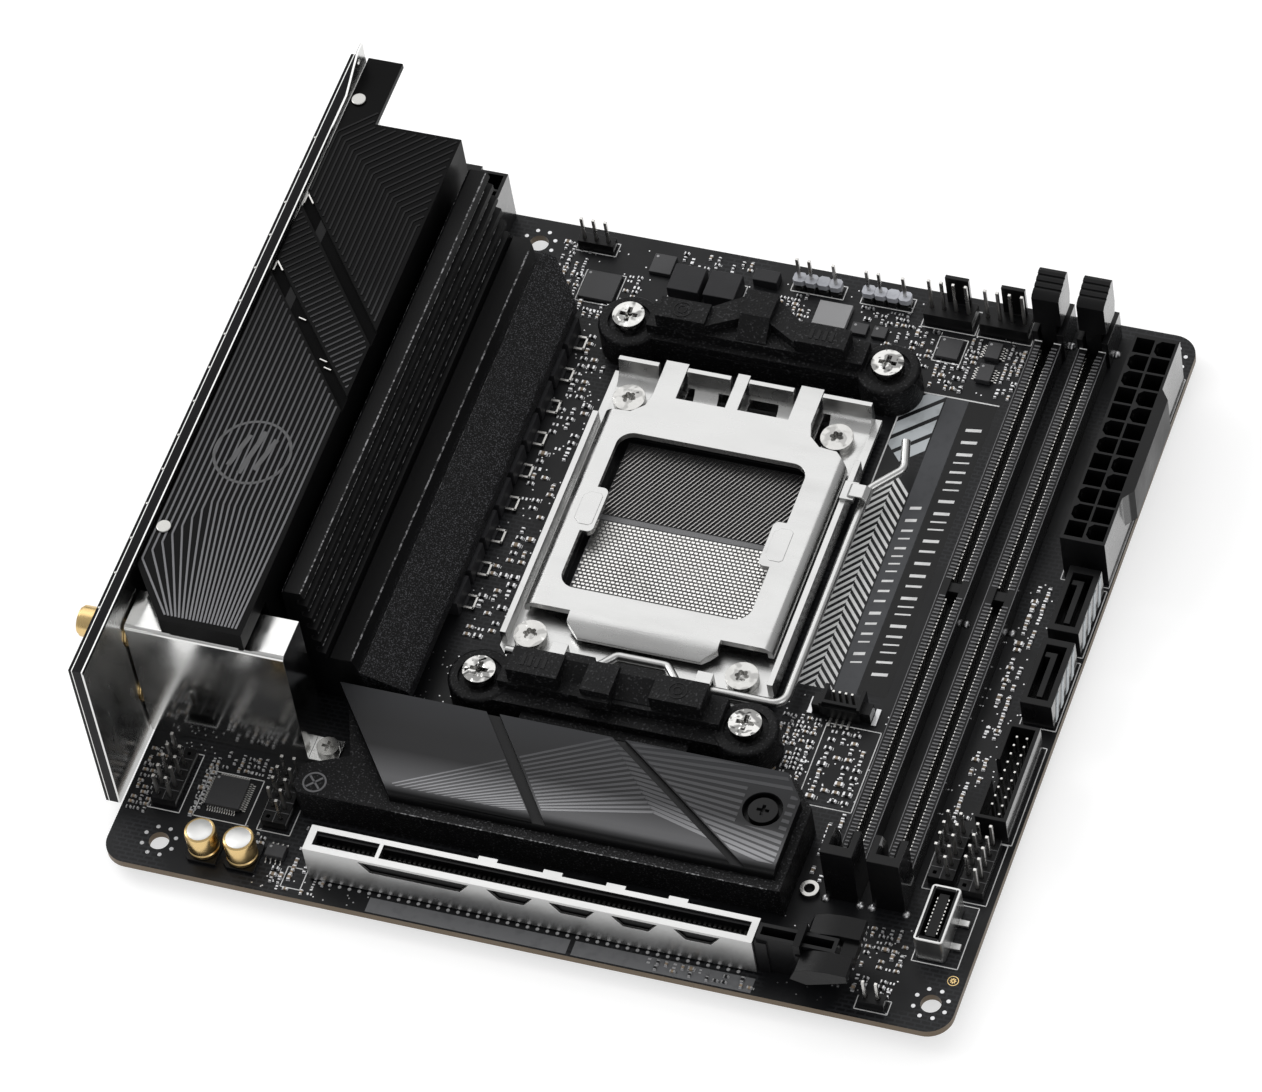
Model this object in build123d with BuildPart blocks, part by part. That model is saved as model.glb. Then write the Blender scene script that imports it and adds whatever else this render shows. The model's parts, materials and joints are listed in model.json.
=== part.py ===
"""Mini-ITX motherboard with a socketed processor mount, two memory slots and one x16 slot.

Every length is in millimetres. The sub-parts are laid out in board coordinates: X runs from
the rear-port edge to the front edge, Y from the expansion-slot edge to the far edge, and
Z = 0 is the upper face of the circuit board. The model's own origin is the midpoint of the
two mounting holes on the expansion-slot side, on the board's underside.
"""

import os

from build123d import *

os.makedirs("parts", exist_ok=True)

# Driving dimensions ---------------------------------------------------------------------

BOARD_SIZE = 170.0
BOARD_THICKNESS = 1.6
BOARD_CORNER = 5.0
HOLE_RADIUS = 1.98
HOLE_LEFT = 10.16
HOLE_RIGHT = 165.1
HOLE_NEAR = 6.35
HOLE_FAR = 163.83
HOLE_FAR_LEFT = 33.02

SOCKET_X = 87.2
SOCKET_Y = 98.5
COOLER_SPACING_X = 54.0
COOLER_SPACING_Y = 90.0
FRAME_SCREW_DX = 21.6
FRAME_SCREW_NEAR = 66.6
FRAME_SCREW_FAR = 126.4
SHEET = 1.2
FRAME_LOW = 2.0
PLATE_TOP = 7.0
LEVER_RADIUS = 0.9
LEVER_Y = 62.4
LEVER_Z = 4.3

SHIELD_X = -1.0
SHIELD_Y = (13.9, 171.3)
SHIELD_Z = (-1.6, 40.2)
SHIELD_FLANGE = 3.0
SHIELD_SHEET = 0.5
COVER_TOP = 39.0
COVER_RIGHT = 24.8
COVER_Y = (30.0, 155.8)
COVER_WALL = 1.2

HEATSINK_Y = (46.0, 153.7)
HEATSINK_TOP = 33.0
CHOKE_PITCH = 8.3
CHOKE_COUNT = 9

MEMORY_X = (142.1, 151.3)
MEMORY_Y = (24.5, 159.0)
MEMORY_RAIL_TOP = 4.8
LATCH_PIVOT_Y = 164.5
LATCH_PIVOT_Z = 3.5

PCIE_X = (41.7, 131.5)
PCIE_Y = (4.9, 10.7)
PCIE_TOP = 10.0
PCIE_LATCH_X = 141.5
PCIE_LATCH_Z = 4.0

PIN_PITCH = 2.54
PIN_SIDE = 0.64
POWER_PITCH = 4.2

BOARD = Plane(
    origin=(-(HOLE_LEFT + HOLE_RIGHT) / 2, -HOLE_NEAR, BOARD_THICKNESS)
)

# Helpers, all in board coordinates ------------------------------------------------------


def block(x, y, z, mode=Mode.ADD):
    """A box between the low and high values given for each axis."""
    with Locations((x[0], y[0], z[0])):
        Box(
            x[1] - x[0],
            y[1] - y[0],
            z[1] - z[0],
            align=(Align.MIN, Align.MIN, Align.MIN),
            mode=mode,
        )


def post(x, y, z, radius, mode=Mode.ADD):
    """An upright cylinder between two heights."""
    with Locations((x, y, z[0])):
        Cylinder(
            radius,
            z[1] - z[0],
            align=(Align.CENTER, Align.CENTER, Align.MIN),
            mode=mode,
        )


def bar_x(x, y, z, radius, mode=Mode.ADD):
    """A cylinder along X between two X values."""
    with Locations(Location((x[0], y, z), (0, 90, 0))):
        Cylinder(
            radius,
            x[1] - x[0],
            align=(Align.CENTER, Align.CENTER, Align.MIN),
            mode=mode,
        )


def plan_prism(points, z, mode=Mode.ADD):
    """A polygon drawn in plan and raised between two heights."""
    with BuildSketch(BOARD.offset(z[0])) as outline:
        with BuildLine():
            Polyline(*points, close=True)
        make_face()
    extrude(outline.sketch, amount=z[1] - z[0], mode=mode)


def side_prism(points, x, mode=Mode.ADD):
    """A polygon drawn in Y and Z and carried along X."""
    plane = Plane(BOARD.from_local_coords((x[0], 0, 0)), x_dir=(0, 1, 0), z_dir=(1, 0, 0))
    with BuildSketch(plane) as outline:
        with BuildLine():
            Polyline(*points, close=True)
        make_face()
    extrude(outline.sketch, amount=x[1] - x[0], mode=mode)


def front_prism(points, y, mode=Mode.ADD):
    """A polygon drawn in X and Z and carried along Y."""
    plane = Plane(BOARD.from_local_coords((0, y[1], 0)), x_dir=(1, 0, 0), z_dir=(0, -1, 0))
    with BuildSketch(plane) as outline:
        with BuildLine():
            Polyline(*points, close=True)
        make_face()
    extrude(outline.sketch, amount=y[1] - y[0], mode=mode)


def save(builder, name):
    """Labels a finished piece and writes it as parts/NAME.step."""
    builder.part.label = name
    export_step(builder.part, f"parts/{name}.step")


# Positions shared by several pieces -----------------------------------------------------

BOARD_HOLES = [
    (HOLE_LEFT, HOLE_NEAR),
    (HOLE_RIGHT, HOLE_NEAR),
    (HOLE_FAR_LEFT, HOLE_FAR),
    (HOLE_RIGHT, HOLE_FAR),
]
COOLER_HOLES = [
    (SOCKET_X + sx * COOLER_SPACING_X / 2, SOCKET_Y + sy * COOLER_SPACING_Y / 2)
    for sy in (-1, 1)
    for sx in (-1, 1)
]
FRAME_HOLES = [
    (SOCKET_X + sx * FRAME_SCREW_DX, y)
    for y in (FRAME_SCREW_NEAR, FRAME_SCREW_FAR)
    for sx in (-1, 1)
]
HEATSINK_HOLES = [(28.2, 58.0), (28.2, 142.0)]
WIFI_SCREW = (35.0, 34.0)
M2_SCREW = (124.2, 34.2)

# Circuit board --------------------------------------------------------------------------

with BuildPart(BOARD) as circuit_board:
    block((0, BOARD_SIZE), (0, BOARD_SIZE), (-BOARD_THICKNESS, 0))
    fillet(circuit_board.edges().filter_by(Axis.Z), BOARD_CORNER)
    with Locations([(x, y, 0) for x, y in BOARD_HOLES]):
        Hole(HOLE_RADIUS)
    with Locations([(x, y, 0) for x, y in COOLER_HOLES]):
        Hole(3.2)
    with Locations([(x, y, 0) for x, y in FRAME_HOLES + HEATSINK_HOLES]):
        Hole(1.7)
    with Locations([(WIFI_SCREW[0], WIFI_SCREW[1], 0)]):
        Hole(1.25)
save(circuit_board, "circuit_board")

# Rear input and output panel ------------------------------------------------------------

DISPLAY_Y = (143.5, 159.5)
USB_STACKS = [(111.0, 125.0), (92.0, 106.0)]
BUTTON_Y = 134.5
BUTTON_Z = 30.0
USB_C_Y = (129.5, 139.5)
LAN_Y = (66.0, 82.5)
AUDIO_Y = (44.5, 56.5)
AUDIO_Z = (7.0, 19.0, 31.0)
ANTENNA_Y = 33.4
ANTENNA_TIP = -11.1
ANTENNA_Z = (11.0, 28.5)
PORT_FACE = -2.2
GAP = 0.3

with BuildPart(BOARD) as io_shield:
    outer = SHIELD_X - SHIELD_FLANGE
    block((outer, SHIELD_X), SHIELD_Y, SHIELD_Z)
    block(
        (outer - 1, SHIELD_X - SHIELD_SHEET),
        (SHIELD_Y[0] + SHIELD_SHEET, SHIELD_Y[1] - SHIELD_SHEET),
        (SHIELD_Z[0] + SHIELD_SHEET, SHIELD_Z[1] - SHIELD_SHEET),
        mode=Mode.SUBTRACT,
    )
    # The spring tab with a small hole that stands above the far end of the panel.
    side_prism(
        [(160.0, 39.9), (171.3, 39.9), (171.3, 44.0), (169.0, 44.0)],
        (SHIELD_X - SHIELD_SHEET, SHIELD_X),
    )
    bar_x((outer, SHIELD_X + 1), 168.3, 42.0, 0.7, mode=Mode.SUBTRACT)
    # Openings, each a little larger than the port that stands in it.
    through = (SHIELD_X - SHIELD_SHEET - 0.2, SHIELD_X + 0.2)
    windows = [
        (DISPLAY_Y, (1.0, 7.6)),
        (DISPLAY_Y, (11.0, 17.6)),
        (USB_C_Y, (1.0, 4.8)),
        (LAN_Y, (15.6, 29.6)),
    ]
    for stack in USB_STACKS:
        windows.append((stack, (1.0, 16.4)))
    windows.append(((LAN_Y[0] + 1.0, LAN_Y[1] - 1.0), (1.0, 15.2)))
    for y, z in windows:
        block(
            through, (y[0] - GAP, y[1] + GAP), (z[0] - GAP, z[1] + GAP), mode=Mode.SUBTRACT
        )
    for z in AUDIO_Z:
        bar_x(through, sum(AUDIO_Y) / 2, z, 4.4, mode=Mode.SUBTRACT)
    for z in ANTENNA_Z:
        bar_x(through, ANTENNA_Y, z, 3.4, mode=Mode.SUBTRACT)
    bar_x(through, BUTTON_Y, BUTTON_Z, 2.0, mode=Mode.SUBTRACT)
save(io_shield, "io_shield")


def port_shell(y, z, depth, wall=0.5):
    """A box-shaped metal port shell, open at the rear panel, with its tongue inside."""
    block((PORT_FACE, depth), y, z)
    block(
        (PORT_FACE - 1, depth - 3.0),
        (y[0] + wall, y[1] - wall),
        (z[0] + wall, z[1] - wall),
        mode=Mode.SUBTRACT,
    )
    middle = (z[0] + z[1]) / 2
    block((PORT_FACE + 1.0, depth), (y[0] + 2.5, y[1] - 2.5), (middle - 0.8, middle + 0.8))


with BuildPart(BOARD) as display_connectors:
    port_shell(DISPLAY_Y, (1.0, 7.6), 16.0)
    port_shell(DISPLAY_Y, (11.0, 17.6), 16.0)
    block((2.0, 16.0), (DISPLAY_Y[0] + 0.5, DISPLAY_Y[1] - 0.5), (7.6, 11.0))
    block((1.0, 16.0), (DISPLAY_Y[0] + 1.0, DISPLAY_Y[1] - 1.0), (0, 1.0))
save(display_connectors, "display_connectors")

with BuildPart(BOARD) as usb_connectors:
    for low, high in USB_STACKS:
        port_shell((low, high), (1.0, 8.4), 17.0)
        port_shell((low, high), (9.0, 16.4), 17.0)
        block((2.0, 17.0), (low + 0.3, high - 0.3), (8.4, 9.0))
        block((1.0, 17.0), (low + 0.8, high - 0.8), (0, 1.0))
    port_shell(USB_C_Y, (1.0, 4.8), 10.0, wall=0.4)
    block((1.0, 10.0), (USB_C_Y[0] + 0.8, USB_C_Y[1] - 0.8), (0, 1.0))
save(usb_connectors, "usb_connectors")

with BuildPart(BOARD) as lan_connector:
    lower = (LAN_Y[0] + 1.0, LAN_Y[1] - 1.0)
    port_shell(lower, (1.0, 7.8), 20.0)
    port_shell(lower, (8.4, 15.2), 20.0)
    block((2.0, 20.0), lower, (7.8, 8.4))
    block((1.0, 20.0), lower, (0, 1.0))
    block((PORT_FACE, 20.0), LAN_Y, (15.6, 29.6))
    block((2.0, 20.0), lower, (15.2, 15.6))
    # The eight-way jack's opening, narrowed at its foot for the plug's latch.
    block((PORT_FACE - 1, 12.0), (LAN_Y[0] + 2.2, LAN_Y[1] - 2.2), (19.0, 27.6), mode=Mode.SUBTRACT)
    block((PORT_FACE - 1, 12.0), (LAN_Y[0] + 5.0, LAN_Y[1] - 5.0), (17.2, 19.0), mode=Mode.SUBTRACT)
save(lan_connector, "lan_connector")

with BuildPart(BOARD) as audio_jacks:
    block((-0.6, 13.0), AUDIO_Y, (0, 37.0))
    for z in AUDIO_Z:
        bar_x((-3.2, -0.6), sum(AUDIO_Y) / 2, z, 4.0)
        bar_x((-4.2, 11.0), sum(AUDIO_Y) / 2, z, 1.8, mode=Mode.SUBTRACT)
save(audio_jacks, "audio_jacks")

with BuildPart(BOARD) as button_switch:
    # The tactile switch stands on a small post behind the firmware button.
    block((2.2, 7.0), (BUTTON_Y - 3.0, BUTTON_Y + 3.0), (BUTTON_Z - 3.0, BUTTON_Z + 3.0))
    block((4.0, 7.0), (BUTTON_Y - 3.0, BUTTON_Y + 3.0), (6.0, BUTTON_Z - 3.0))
    block((4.0, 12.5), (BUTTON_Y - 3.0, BUTTON_Y + 3.0), (5.2, 6.0))
    block((11.0, 12.5), (BUTTON_Y - 3.0, BUTTON_Y + 3.0), (0, 5.2))
save(button_switch, "button_switch")

with BuildPart(BOARD) as firmware_button:
    bar_x((-2.6, 0.2), BUTTON_Y, BUTTON_Z, 1.6)
    bar_x((-0.6, 0.2), BUTTON_Y, BUTTON_Z, 2.4)
    bar_x((0.2, 1.2), BUTTON_Y, BUTTON_Z, 1.2)
save(firmware_button, "firmware_button")

RIVET_X = 1.2
RIVET_Y = (51.0, 161.0)
GROOVE_DEPTH = 0.6
# Two slanting decorative recesses across the cover's top.
COVER_GROOVES = [
    [(-2.1, 138.2), (-3.9, 136.8), (25.6, 101.4), (27.4, 102.8)],
    [(-2.3, 120.9), (-4.1, 119.5), (25.6, 84.8), (27.4, 86.2)],
]

with BuildPart(BOARD) as io_cover:
    left = SHIELD_X + 0.3
    right = COVER_RIGHT
    ear_right = 6.6
    plan_prism(
        [
            (left, 41.5),
            (8.0, COVER_Y[0]),
            (right, COVER_Y[0]),
            (right, COVER_Y[1]),
            (ear_right, COVER_Y[1]),
            (ear_right, 172.0),
            (left, 172.0),
        ],
        (COVER_TOP - COVER_WALL, COVER_TOP),
    )
    # Side wall towards the heatsink, cut back over the wireless module's shield.
    block((right - COVER_WALL, right), (42.0, COVER_Y[1]), (2.0, COVER_TOP - COVER_WALL))
    block((right - COVER_WALL, right), (COVER_Y[0], 42.0), (34.2, COVER_TOP - COVER_WALL))
    # The lip that closes the near end above the shield.
    block((8.0, right), (COVER_Y[0], COVER_Y[0] + COVER_WALL), (35.0, COVER_TOP - COVER_WALL))
    for y in RIVET_Y:
        post(RIVET_X, y, (COVER_TOP - 2, COVER_TOP + 1), 1.0, mode=Mode.SUBTRACT)
    fillet(io_cover.edges().filter_by(Axis.Y).sort_by(Axis.X)[-2:].sort_by(Axis.Z)[-1:], 0.6)
    for outline in COVER_GROOVES:
        plan_prism(outline, (COVER_TOP - GROOVE_DEPTH, COVER_TOP + 1), mode=Mode.SUBTRACT)
save(io_cover, "io_cover")

with BuildPart(BOARD) as cover_rivets:
    for y in RIVET_Y:
        post(RIVET_X, y, (COVER_TOP - 1.6, COVER_TOP), 0.95)
        post(RIVET_X, y, (COVER_TOP, COVER_TOP + 0.5), 1.5)
save(cover_rivets, "cover_rivets")

# Wireless module ------------------------------------------------------------------------

WIFI_X = (-0.6, 32.0)
WIFI_Y = (30.8, 40.0)
WIFI_TOP = 33.0

with BuildPart(BOARD) as wifi_shield:
    block(WIFI_X, WIFI_Y, (0, WIFI_TOP))
    block(
        (WIFI_X[0] - 1, WIFI_X[1] - SHIELD_SHEET),
        (WIFI_Y[0] + SHIELD_SHEET, WIFI_Y[1] - SHIELD_SHEET),
        (-1, WIFI_TOP - SHIELD_SHEET),
        mode=Mode.SUBTRACT,
    )
    fillet(
        wifi_shield.edges().filter_by(Axis.X).group_by(Axis.Z)[-1].sort_by(Axis.Y)[0], 1.0
    )
    # The foot with its screw hole.
    block((WIFI_X[1] - SHIELD_SHEET, 37.6), (31.0, 36.6), (0, 0.8))
    post(*WIFI_SCREW, (-1, 2), 1.3, mode=Mode.SUBTRACT)
save(wifi_shield, "wifi_shield")

with BuildPart(BOARD) as wifi_card:
    block((0.2, 30.4), (34.2, 35.0), (4.0, 26.0))
    block((4.0, 16.0), (33.0, 34.2), (10.0, 22.0))
    block((27.0, 31.0), (32.6, 38.0), (0.0, 4.0))
save(wifi_card, "wifi_card")

with BuildPart(BOARD) as antenna_connectors:
    for z in ANTENNA_Z:
        bar_x((ANTENNA_TIP, WIFI_X[0]), ANTENNA_Y, z, 2.7)
        bar_x((ANTENNA_TIP + 0.5, WIFI_X[0]), ANTENNA_Y, z, 3.1)
        bar_x((ANTENNA_TIP - 1, -3.0), ANTENNA_Y, z, 2.3, mode=Mode.SUBTRACT)
        bar_x((ANTENNA_TIP + 0.5, -3.0), ANTENNA_Y, z, 0.5)
        # Hexagon nut against the panel.
        nut_plane = Plane(
            BOARD.from_local_coords((-3.2, ANTENNA_Y, z)), x_dir=(0, 1, 0), z_dir=(1, 0, 0)
        )
        with BuildSketch(nut_plane) as nut:
            RegularPolygon(4.6, 6)
            Circle(3.1, mode=Mode.SUBTRACT)
        extrude(nut.sketch, amount=1.6)
save(antenna_connectors, "antenna_connectors")

# Voltage regulator: power stages, inductors, pads and heatsink --------------------------

CHOKE_Y = [74.3 + CHOKE_PITCH * index for index in range(CHOKE_COUNT)]

with BuildPart(BOARD) as power_stages:
    for y in CHOKE_Y:
        block((30.5, 36.5), (y - 3.0, y + 3.0), (0, 1.0))
save(power_stages, "power_stages")

with BuildPart(BOARD) as power_chokes:
    for y in CHOKE_Y:
        block((40.2, 48.8), (y - 3.5, y + 3.5), (0.2, 4.0))
        block((40.0, 49.4), (y - 1.4, y + 1.4), (0, 0.6))
save(power_chokes, "power_chokes")

with BuildPart(BOARD) as thermal_pads:
    block((30.0, 37.0), (CHOKE_Y[0] - 4, CHOKE_Y[-1] + 4), (1.0, 2.0))
    block((40.5, 47.8), (CHOKE_Y[0] - 4, CHOKE_Y[-1] + 4), (4.0, 4.6))
save(thermal_pads, "thermal_pads")

with BuildPart(BOARD) as vrm_heatsink:
    groove_pitch = 3.6
    grooves = []
    for index in range(5):
        high = 31.6 - index * groove_pitch
        edge = 30.5 + 0.38 * index
        grooves += [(edge, high), (edge - 1.5, high - 0.5), (edge - 1.5, high - 1.7)]
        grooves += [(edge + 0.3, high - 2.2)]
    front_prism(
        [(26.1, 2.0), (26.1, HEATSINK_TOP - 0.5), (26.6, HEATSINK_TOP), (30.0, HEATSINK_TOP)]
        + grooves
        + [(32.4, 13.4), (33.0, 14.0), (37.4, 14.0), (38.6, 10.8), (47.6, 7.8), (48.2, 7.2)]
        + [(48.2, 4.6), (39.0, 4.6), (39.0, 2.0)],
        HEATSINK_Y,
    )
    # The far end's corner is cut off diagonally beside the processor socket.
    plan_prism([(41.2, 154.0), (48.6, 145.0), (48.6, 154.0)], (0, 15), mode=Mode.SUBTRACT)
    plan_prism([(36.0, 154.0), (38.8, 151.0), (38.8, 154.0)], (10, 15), mode=Mode.SUBTRACT)
    for x, y in HEATSINK_HOLES:
        post(x, y, (1, 8), 1.25, mode=Mode.SUBTRACT)
save(vrm_heatsink, "vrm_heatsink")

with BuildPart(BOARD) as heatsink_screws:
    for x, y in HEATSINK_HOLES:
        post(x, y, (-BOARD_THICKNESS, 7.0), 1.2)
        post(x, y, (-BOARD_THICKNESS - 1.4, -BOARD_THICKNESS), 2.6)
save(heatsink_screws, "heatsink_screws")

# Processor socket -----------------------------------------------------------------------

with BuildPart(BOARD) as socket_body:
    block((64.9, 110.1), (74.6, 122.6), (0, 4.9))
    block((67.0, 107.4), (78.3, 118.7), (2.4, 6), mode=Mode.SUBTRACT)
    fillet(socket_body.edges().filter_by(Axis.Z).group_by(Axis.X)[0], 1.0)
    # Finger reliefs at the middle of both sides of the pocket.
    for x in (66.0, 106.8):
        block((x, x + 1.6), (94.0, 103.0), (3.2, 6), mode=Mode.SUBTRACT)
save(socket_body, "socket_body")

with BuildPart(BOARD) as socket_contacts:
    block((68.4, 106.0), (79.6, 97.9), (2.4, 3.2))
    block((68.4, 106.0), (99.1, 117.4), (2.4, 3.2))
save(socket_contacts, "socket_contacts")

TONGUES = [(70.6, 75.4), (85.6, 88.2), (98.7, 103.5)]
FRAME_X = (60.0, 115.6)
FRAME_Y = (61.0, 133.8)

with BuildPart(BOARD) as socket_frame:
    frame_top = FRAME_LOW + SHEET
    plan_prism(
        [
            (FRAME_X[0], 64.0),
            (63.0, 60.6),
            (FRAME_X[1] - 3.0, 60.6),
            (FRAME_X[1], 64.0),
            (FRAME_X[1], FRAME_Y[1]),
            (FRAME_X[0], FRAME_Y[1]),
        ],
        (FRAME_LOW, frame_top),
    )
    block((64.5, 110.5), (74.2, 123.0), (0, 6), mode=Mode.SUBTRACT)
    # Rails stand up along both sides.
    for x in (FRAME_X[0], FRAME_X[1] - SHEET):
        block((x, x + SHEET), (65.0, 121.0), (FRAME_LOW, 6.2))
    # The far edge sweeps up into the hinge flange.
    side_prism(
        [
            (129.6, FRAME_LOW),
            (133.8, FRAME_LOW),
            (133.8, 8.4),
            (132.8, 8.4),
            (132.2, 5.6),
            (131.0, 4.0),
            (129.6, frame_top),
        ],
        (61.6, 114.2),
    )
    # Clearance round the load plate's three tongues, and the openings beside them.
    for low, high in TONGUES:
        block((low - 0.6, high + 0.6), (129.0, 136.0), (frame_top, 9), mode=Mode.SUBTRACT)
    for low, high in ((75.9, 77.6), (82.6, 85.1), (88.7, 95.0), (104.0, 105.8)):
        block((low, high), (124.5, 131.6), (0, 9), mode=Mode.SUBTRACT)
    # Two lugs folded over the lever's wire.
    for x in (71.0, 100.6):
        block((x, x + 3.2), (64.0, 65.0), (frame_top, 6.4))
        block((x, x + 3.2), (61.2, 65.0), (5.6, 6.4))
    # The catch that stands beside the lever's arm.
    block((FRAME_X[1] - SHEET, FRAME_X[1]), (110.8, 115.2), (FRAME_LOW, 7.0))
    block((FRAME_X[1] - SHEET, 117.2), (110.8, 115.2), (6.0, 7.0))
    for x, y in FRAME_HOLES:
        post(x, y, (0, 6), 1.65, mode=Mode.SUBTRACT)
    # Stand-off feet under the four screws.
    for x, y in FRAME_HOLES:
        post(x, y, (0, FRAME_LOW), 3.2)
        post(x, y, (-1, FRAME_LOW), 1.65, mode=Mode.SUBTRACT)
save(socket_frame, "socket_frame")

with BuildPart(BOARD) as socket_load_plate:
    plate_low = PLATE_TOP - 1.4
    plan_prism(
        [
            (62.3, 72.5),
            (71.0, 72.5),
            (103.4, 72.5),
            (113.3, 72.5),
            (113.3, 119.0),
            (110.5, 121.6),
            (106.8, 121.9),
            (104.4, 124.0),
            (103.5, 127.0),
            (70.6, 127.0),
            (70.0, 124.0),
            (67.6, 121.9),
            (62.3, 121.6),
        ],
        (4.2, PLATE_TOP),
    )
    fillet(
        socket_load_plate.edges()
        .filter_by(Axis.Y)
        .group_by(Axis.Z)[-1],
        2.2,
    )
    # Underside hollow, so that the plate is a pressed sheet with turned-down sides.
    plan_prism(
        [
            (63.5, 71.0),
            (112.1, 71.0),
            (112.1, 118.2),
            (110.0, 123.0),
            (104.0, 128.0),
            (70.0, 128.0),
            (67.0, 123.0),
            (63.5, 123.0),
        ],
        (3.0, plate_low),
        mode=Mode.SUBTRACT,
    )
    # The window, with a tab into it from each side.
    with BuildSketch(BOARD.offset(3.0)) as window:
        with Locations((SOCKET_X - 0.25, SOCKET_Y - 1.15)):
            RectangleRounded(38.9, 38.9, 3.2)
        for x in (66.5, 107.4):
            with Locations((x, 97.0)):
                RectangleRounded(7.0, 11.0, 1.3, mode=Mode.SUBTRACT)
    extrude(window.sketch, amount=6.0, mode=Mode.SUBTRACT)
    # The pressed lip that the lever's crank bears down beside.
    side_prism(
        [
            (74.0, PLATE_TOP),
            (74.0, plate_low),
            (72.4, plate_low),
            (69.0, 4.3),
            (67.8, 4.3),
            (67.6, 5.2),
            (68.4, 5.9),
            (71.6, PLATE_TOP),
        ],
        (72.0, 102.8),
    )
    for corner, inner in ((71.9, 75.0), (102.9, 99.8)):
        plan_prism([(corner, 67.5), (inner, 67.5), (corner, 70.4)], (4, 8), mode=Mode.SUBTRACT)
    # Hinge tongues that run over the frame and hook down behind it.
    for low, high in TONGUES:
        block((low, high), (126.0, 135.8), (plate_low, PLATE_TOP))
        block((low, high), (134.7, 135.8), (4.8, PLATE_TOP))
save(socket_load_plate, "socket_load_plate")

with BuildPart(BOARD) as socket_lever:
    path_points = [
        (62.0, LEVER_Y, LEVER_Z),
        (80.4, LEVER_Y, LEVER_Z),
        (83.6, 66.0, LEVER_Z),
        (93.8, 66.0, LEVER_Z),
        (97.0, LEVER_Y, LEVER_Z),
        (118.5, LEVER_Y, LEVER_Z),
        (118.5, 116.0, LEVER_Z),
        (124.2, 121.6, 5.4),
        (122.6, 128.0, 5.8),
    ]
    with BuildLine(BOARD) as lever_path:
        FilletPolyline(*path_points, radius=(1.6, 1.6, 1.6, 1.6, 2.6, 2.6, 1.8))
    start = lever_path.line @ 0
    with BuildSketch(Plane(start, z_dir=lever_path.line % 0)) as wire:
        Circle(LEVER_RADIUS)
    sweep(wire.sketch, path=lever_path.line, transition=Transition.RIGHT)
save(socket_lever, "socket_lever")

with BuildPart(BOARD) as socket_screws:
    for x, y in FRAME_HOLES:
        post(x, y, (-BOARD_THICKNESS - 1.6, FRAME_LOW + SHEET), 1.55)
        post(x, y, (FRAME_LOW + SHEET, 5.2), 3.3)
        # Six-lobed driver recess.
        with BuildSketch(BOARD.offset(4.0)) as star:
            with Locations((x, y)):
                Circle(1.05)
                with PolarLocations(1.0, 6):
                    Circle(0.4)
        extrude(star.sketch, amount=2.0, mode=Mode.SUBTRACT)
save(socket_screws, "socket_screws")

BACKPLATE_Z = (-4.4, -BOARD_THICKNESS)

with BuildPart(BOARD) as socket_backplate:
    with BuildSketch(BOARD.offset(BACKPLATE_Z[0])) as plate:
        with Locations((SOCKET_X, SOCKET_Y)):
            RectangleRounded(66.0, 102.0, 6.0)
            RectangleRounded(34.0, 34.0, 3.0, mode=Mode.SUBTRACT)
    extrude(plate.sketch, amount=BACKPLATE_Z[1] - BACKPLATE_Z[0])
    for x, y in COOLER_HOLES:
        post(x, y, (BACKPLATE_Z[1], -0.2), 3.1)
        post(x, y, (BACKPLATE_Z[0] - 1, 1), 1.8, mode=Mode.SUBTRACT)
    for x, y in FRAME_HOLES:
        post(x, y, (BACKPLATE_Z[0] - 1, 1), 1.6, mode=Mode.SUBTRACT)
save(socket_backplate, "socket_backplate")

# Cooler brackets ------------------------------------------------------------------------

EAR_RADIUS = 6.4
EAR_TOP = 7.4
BRACKET_LOW = 0.6
HOOK_TOP = 13.0
WEB_TOP = 12.4
LEFT_HOOK = (66.6, 76.9)
RIGHT_HOOK = (95.6, 106.0)


def bracket_holes(ear_y):
    """Screw holes with a recess for each head."""
    for x in (COOLER_HOLES[0][0], COOLER_HOLES[1][0]):
        post(x, ear_y, (-1, 9), 2.0, mode=Mode.SUBTRACT)
        post(x, ear_y, (6.6, 14), 4.4, mode=Mode.SUBTRACT)


NEAR_EAR = COOLER_HOLES[0][1]
FAR_EAR = COOLER_HOLES[2][1]

with BuildPart(BOARD) as cooler_bracket_near:
    for x in (COOLER_HOLES[0][0], COOLER_HOLES[1][0]):
        post(x, NEAR_EAR, (0, EAR_TOP), EAR_RADIUS)
    fillet(cooler_bracket_near.edges().filter_by(GeomType.CIRCLE).group_by(Axis.Z)[-1], 0.8)
    block((COOLER_HOLES[0][0], COOLER_HOLES[1][0]), (48.6, 57.6), (BRACKET_LOW, EAR_TOP - 0.4))
    block((64.5, 109.5), (51.6, 58.2), (BRACKET_LOW, 9.4))
    for hook in (LEFT_HOOK, RIGHT_HOOK):
        block(hook, (52.1, 58.0), (EAR_TOP, HOOK_TOP))
    # The middle hook stands further out over a small step.
    block((82.0, 88.0), (51.0, 58.0), (EAR_TOP, HOOK_TOP))
    block((82.0, 88.0), (50.0, 52.0), (9.0, 11.4))
    # Webs between the hooks, high at the back and falling to the front.
    side_prism(
        [(52.6, 7.0), (52.6, 7.6), (57.4, WEB_TOP), (59.2, WEB_TOP), (59.2, 7.0)],
        (LEFT_HOOK[1] - 0.5, 82.5),
    )
    side_prism(
        [(52.6, 7.0), (52.6, 9.6), (56.8, WEB_TOP), (59.0, WEB_TOP), (59.0, 7.0)],
        (87.5, RIGHT_HOOK[0] + 0.5),
    )
    # A foot strip on the side away from the socket.
    block((70.0, 104.0), (46.6, 52.0), (BRACKET_LOW, 5.0))
    bracket_holes(NEAR_EAR)
save(cooler_bracket_near, "cooler_bracket_near")

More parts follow.
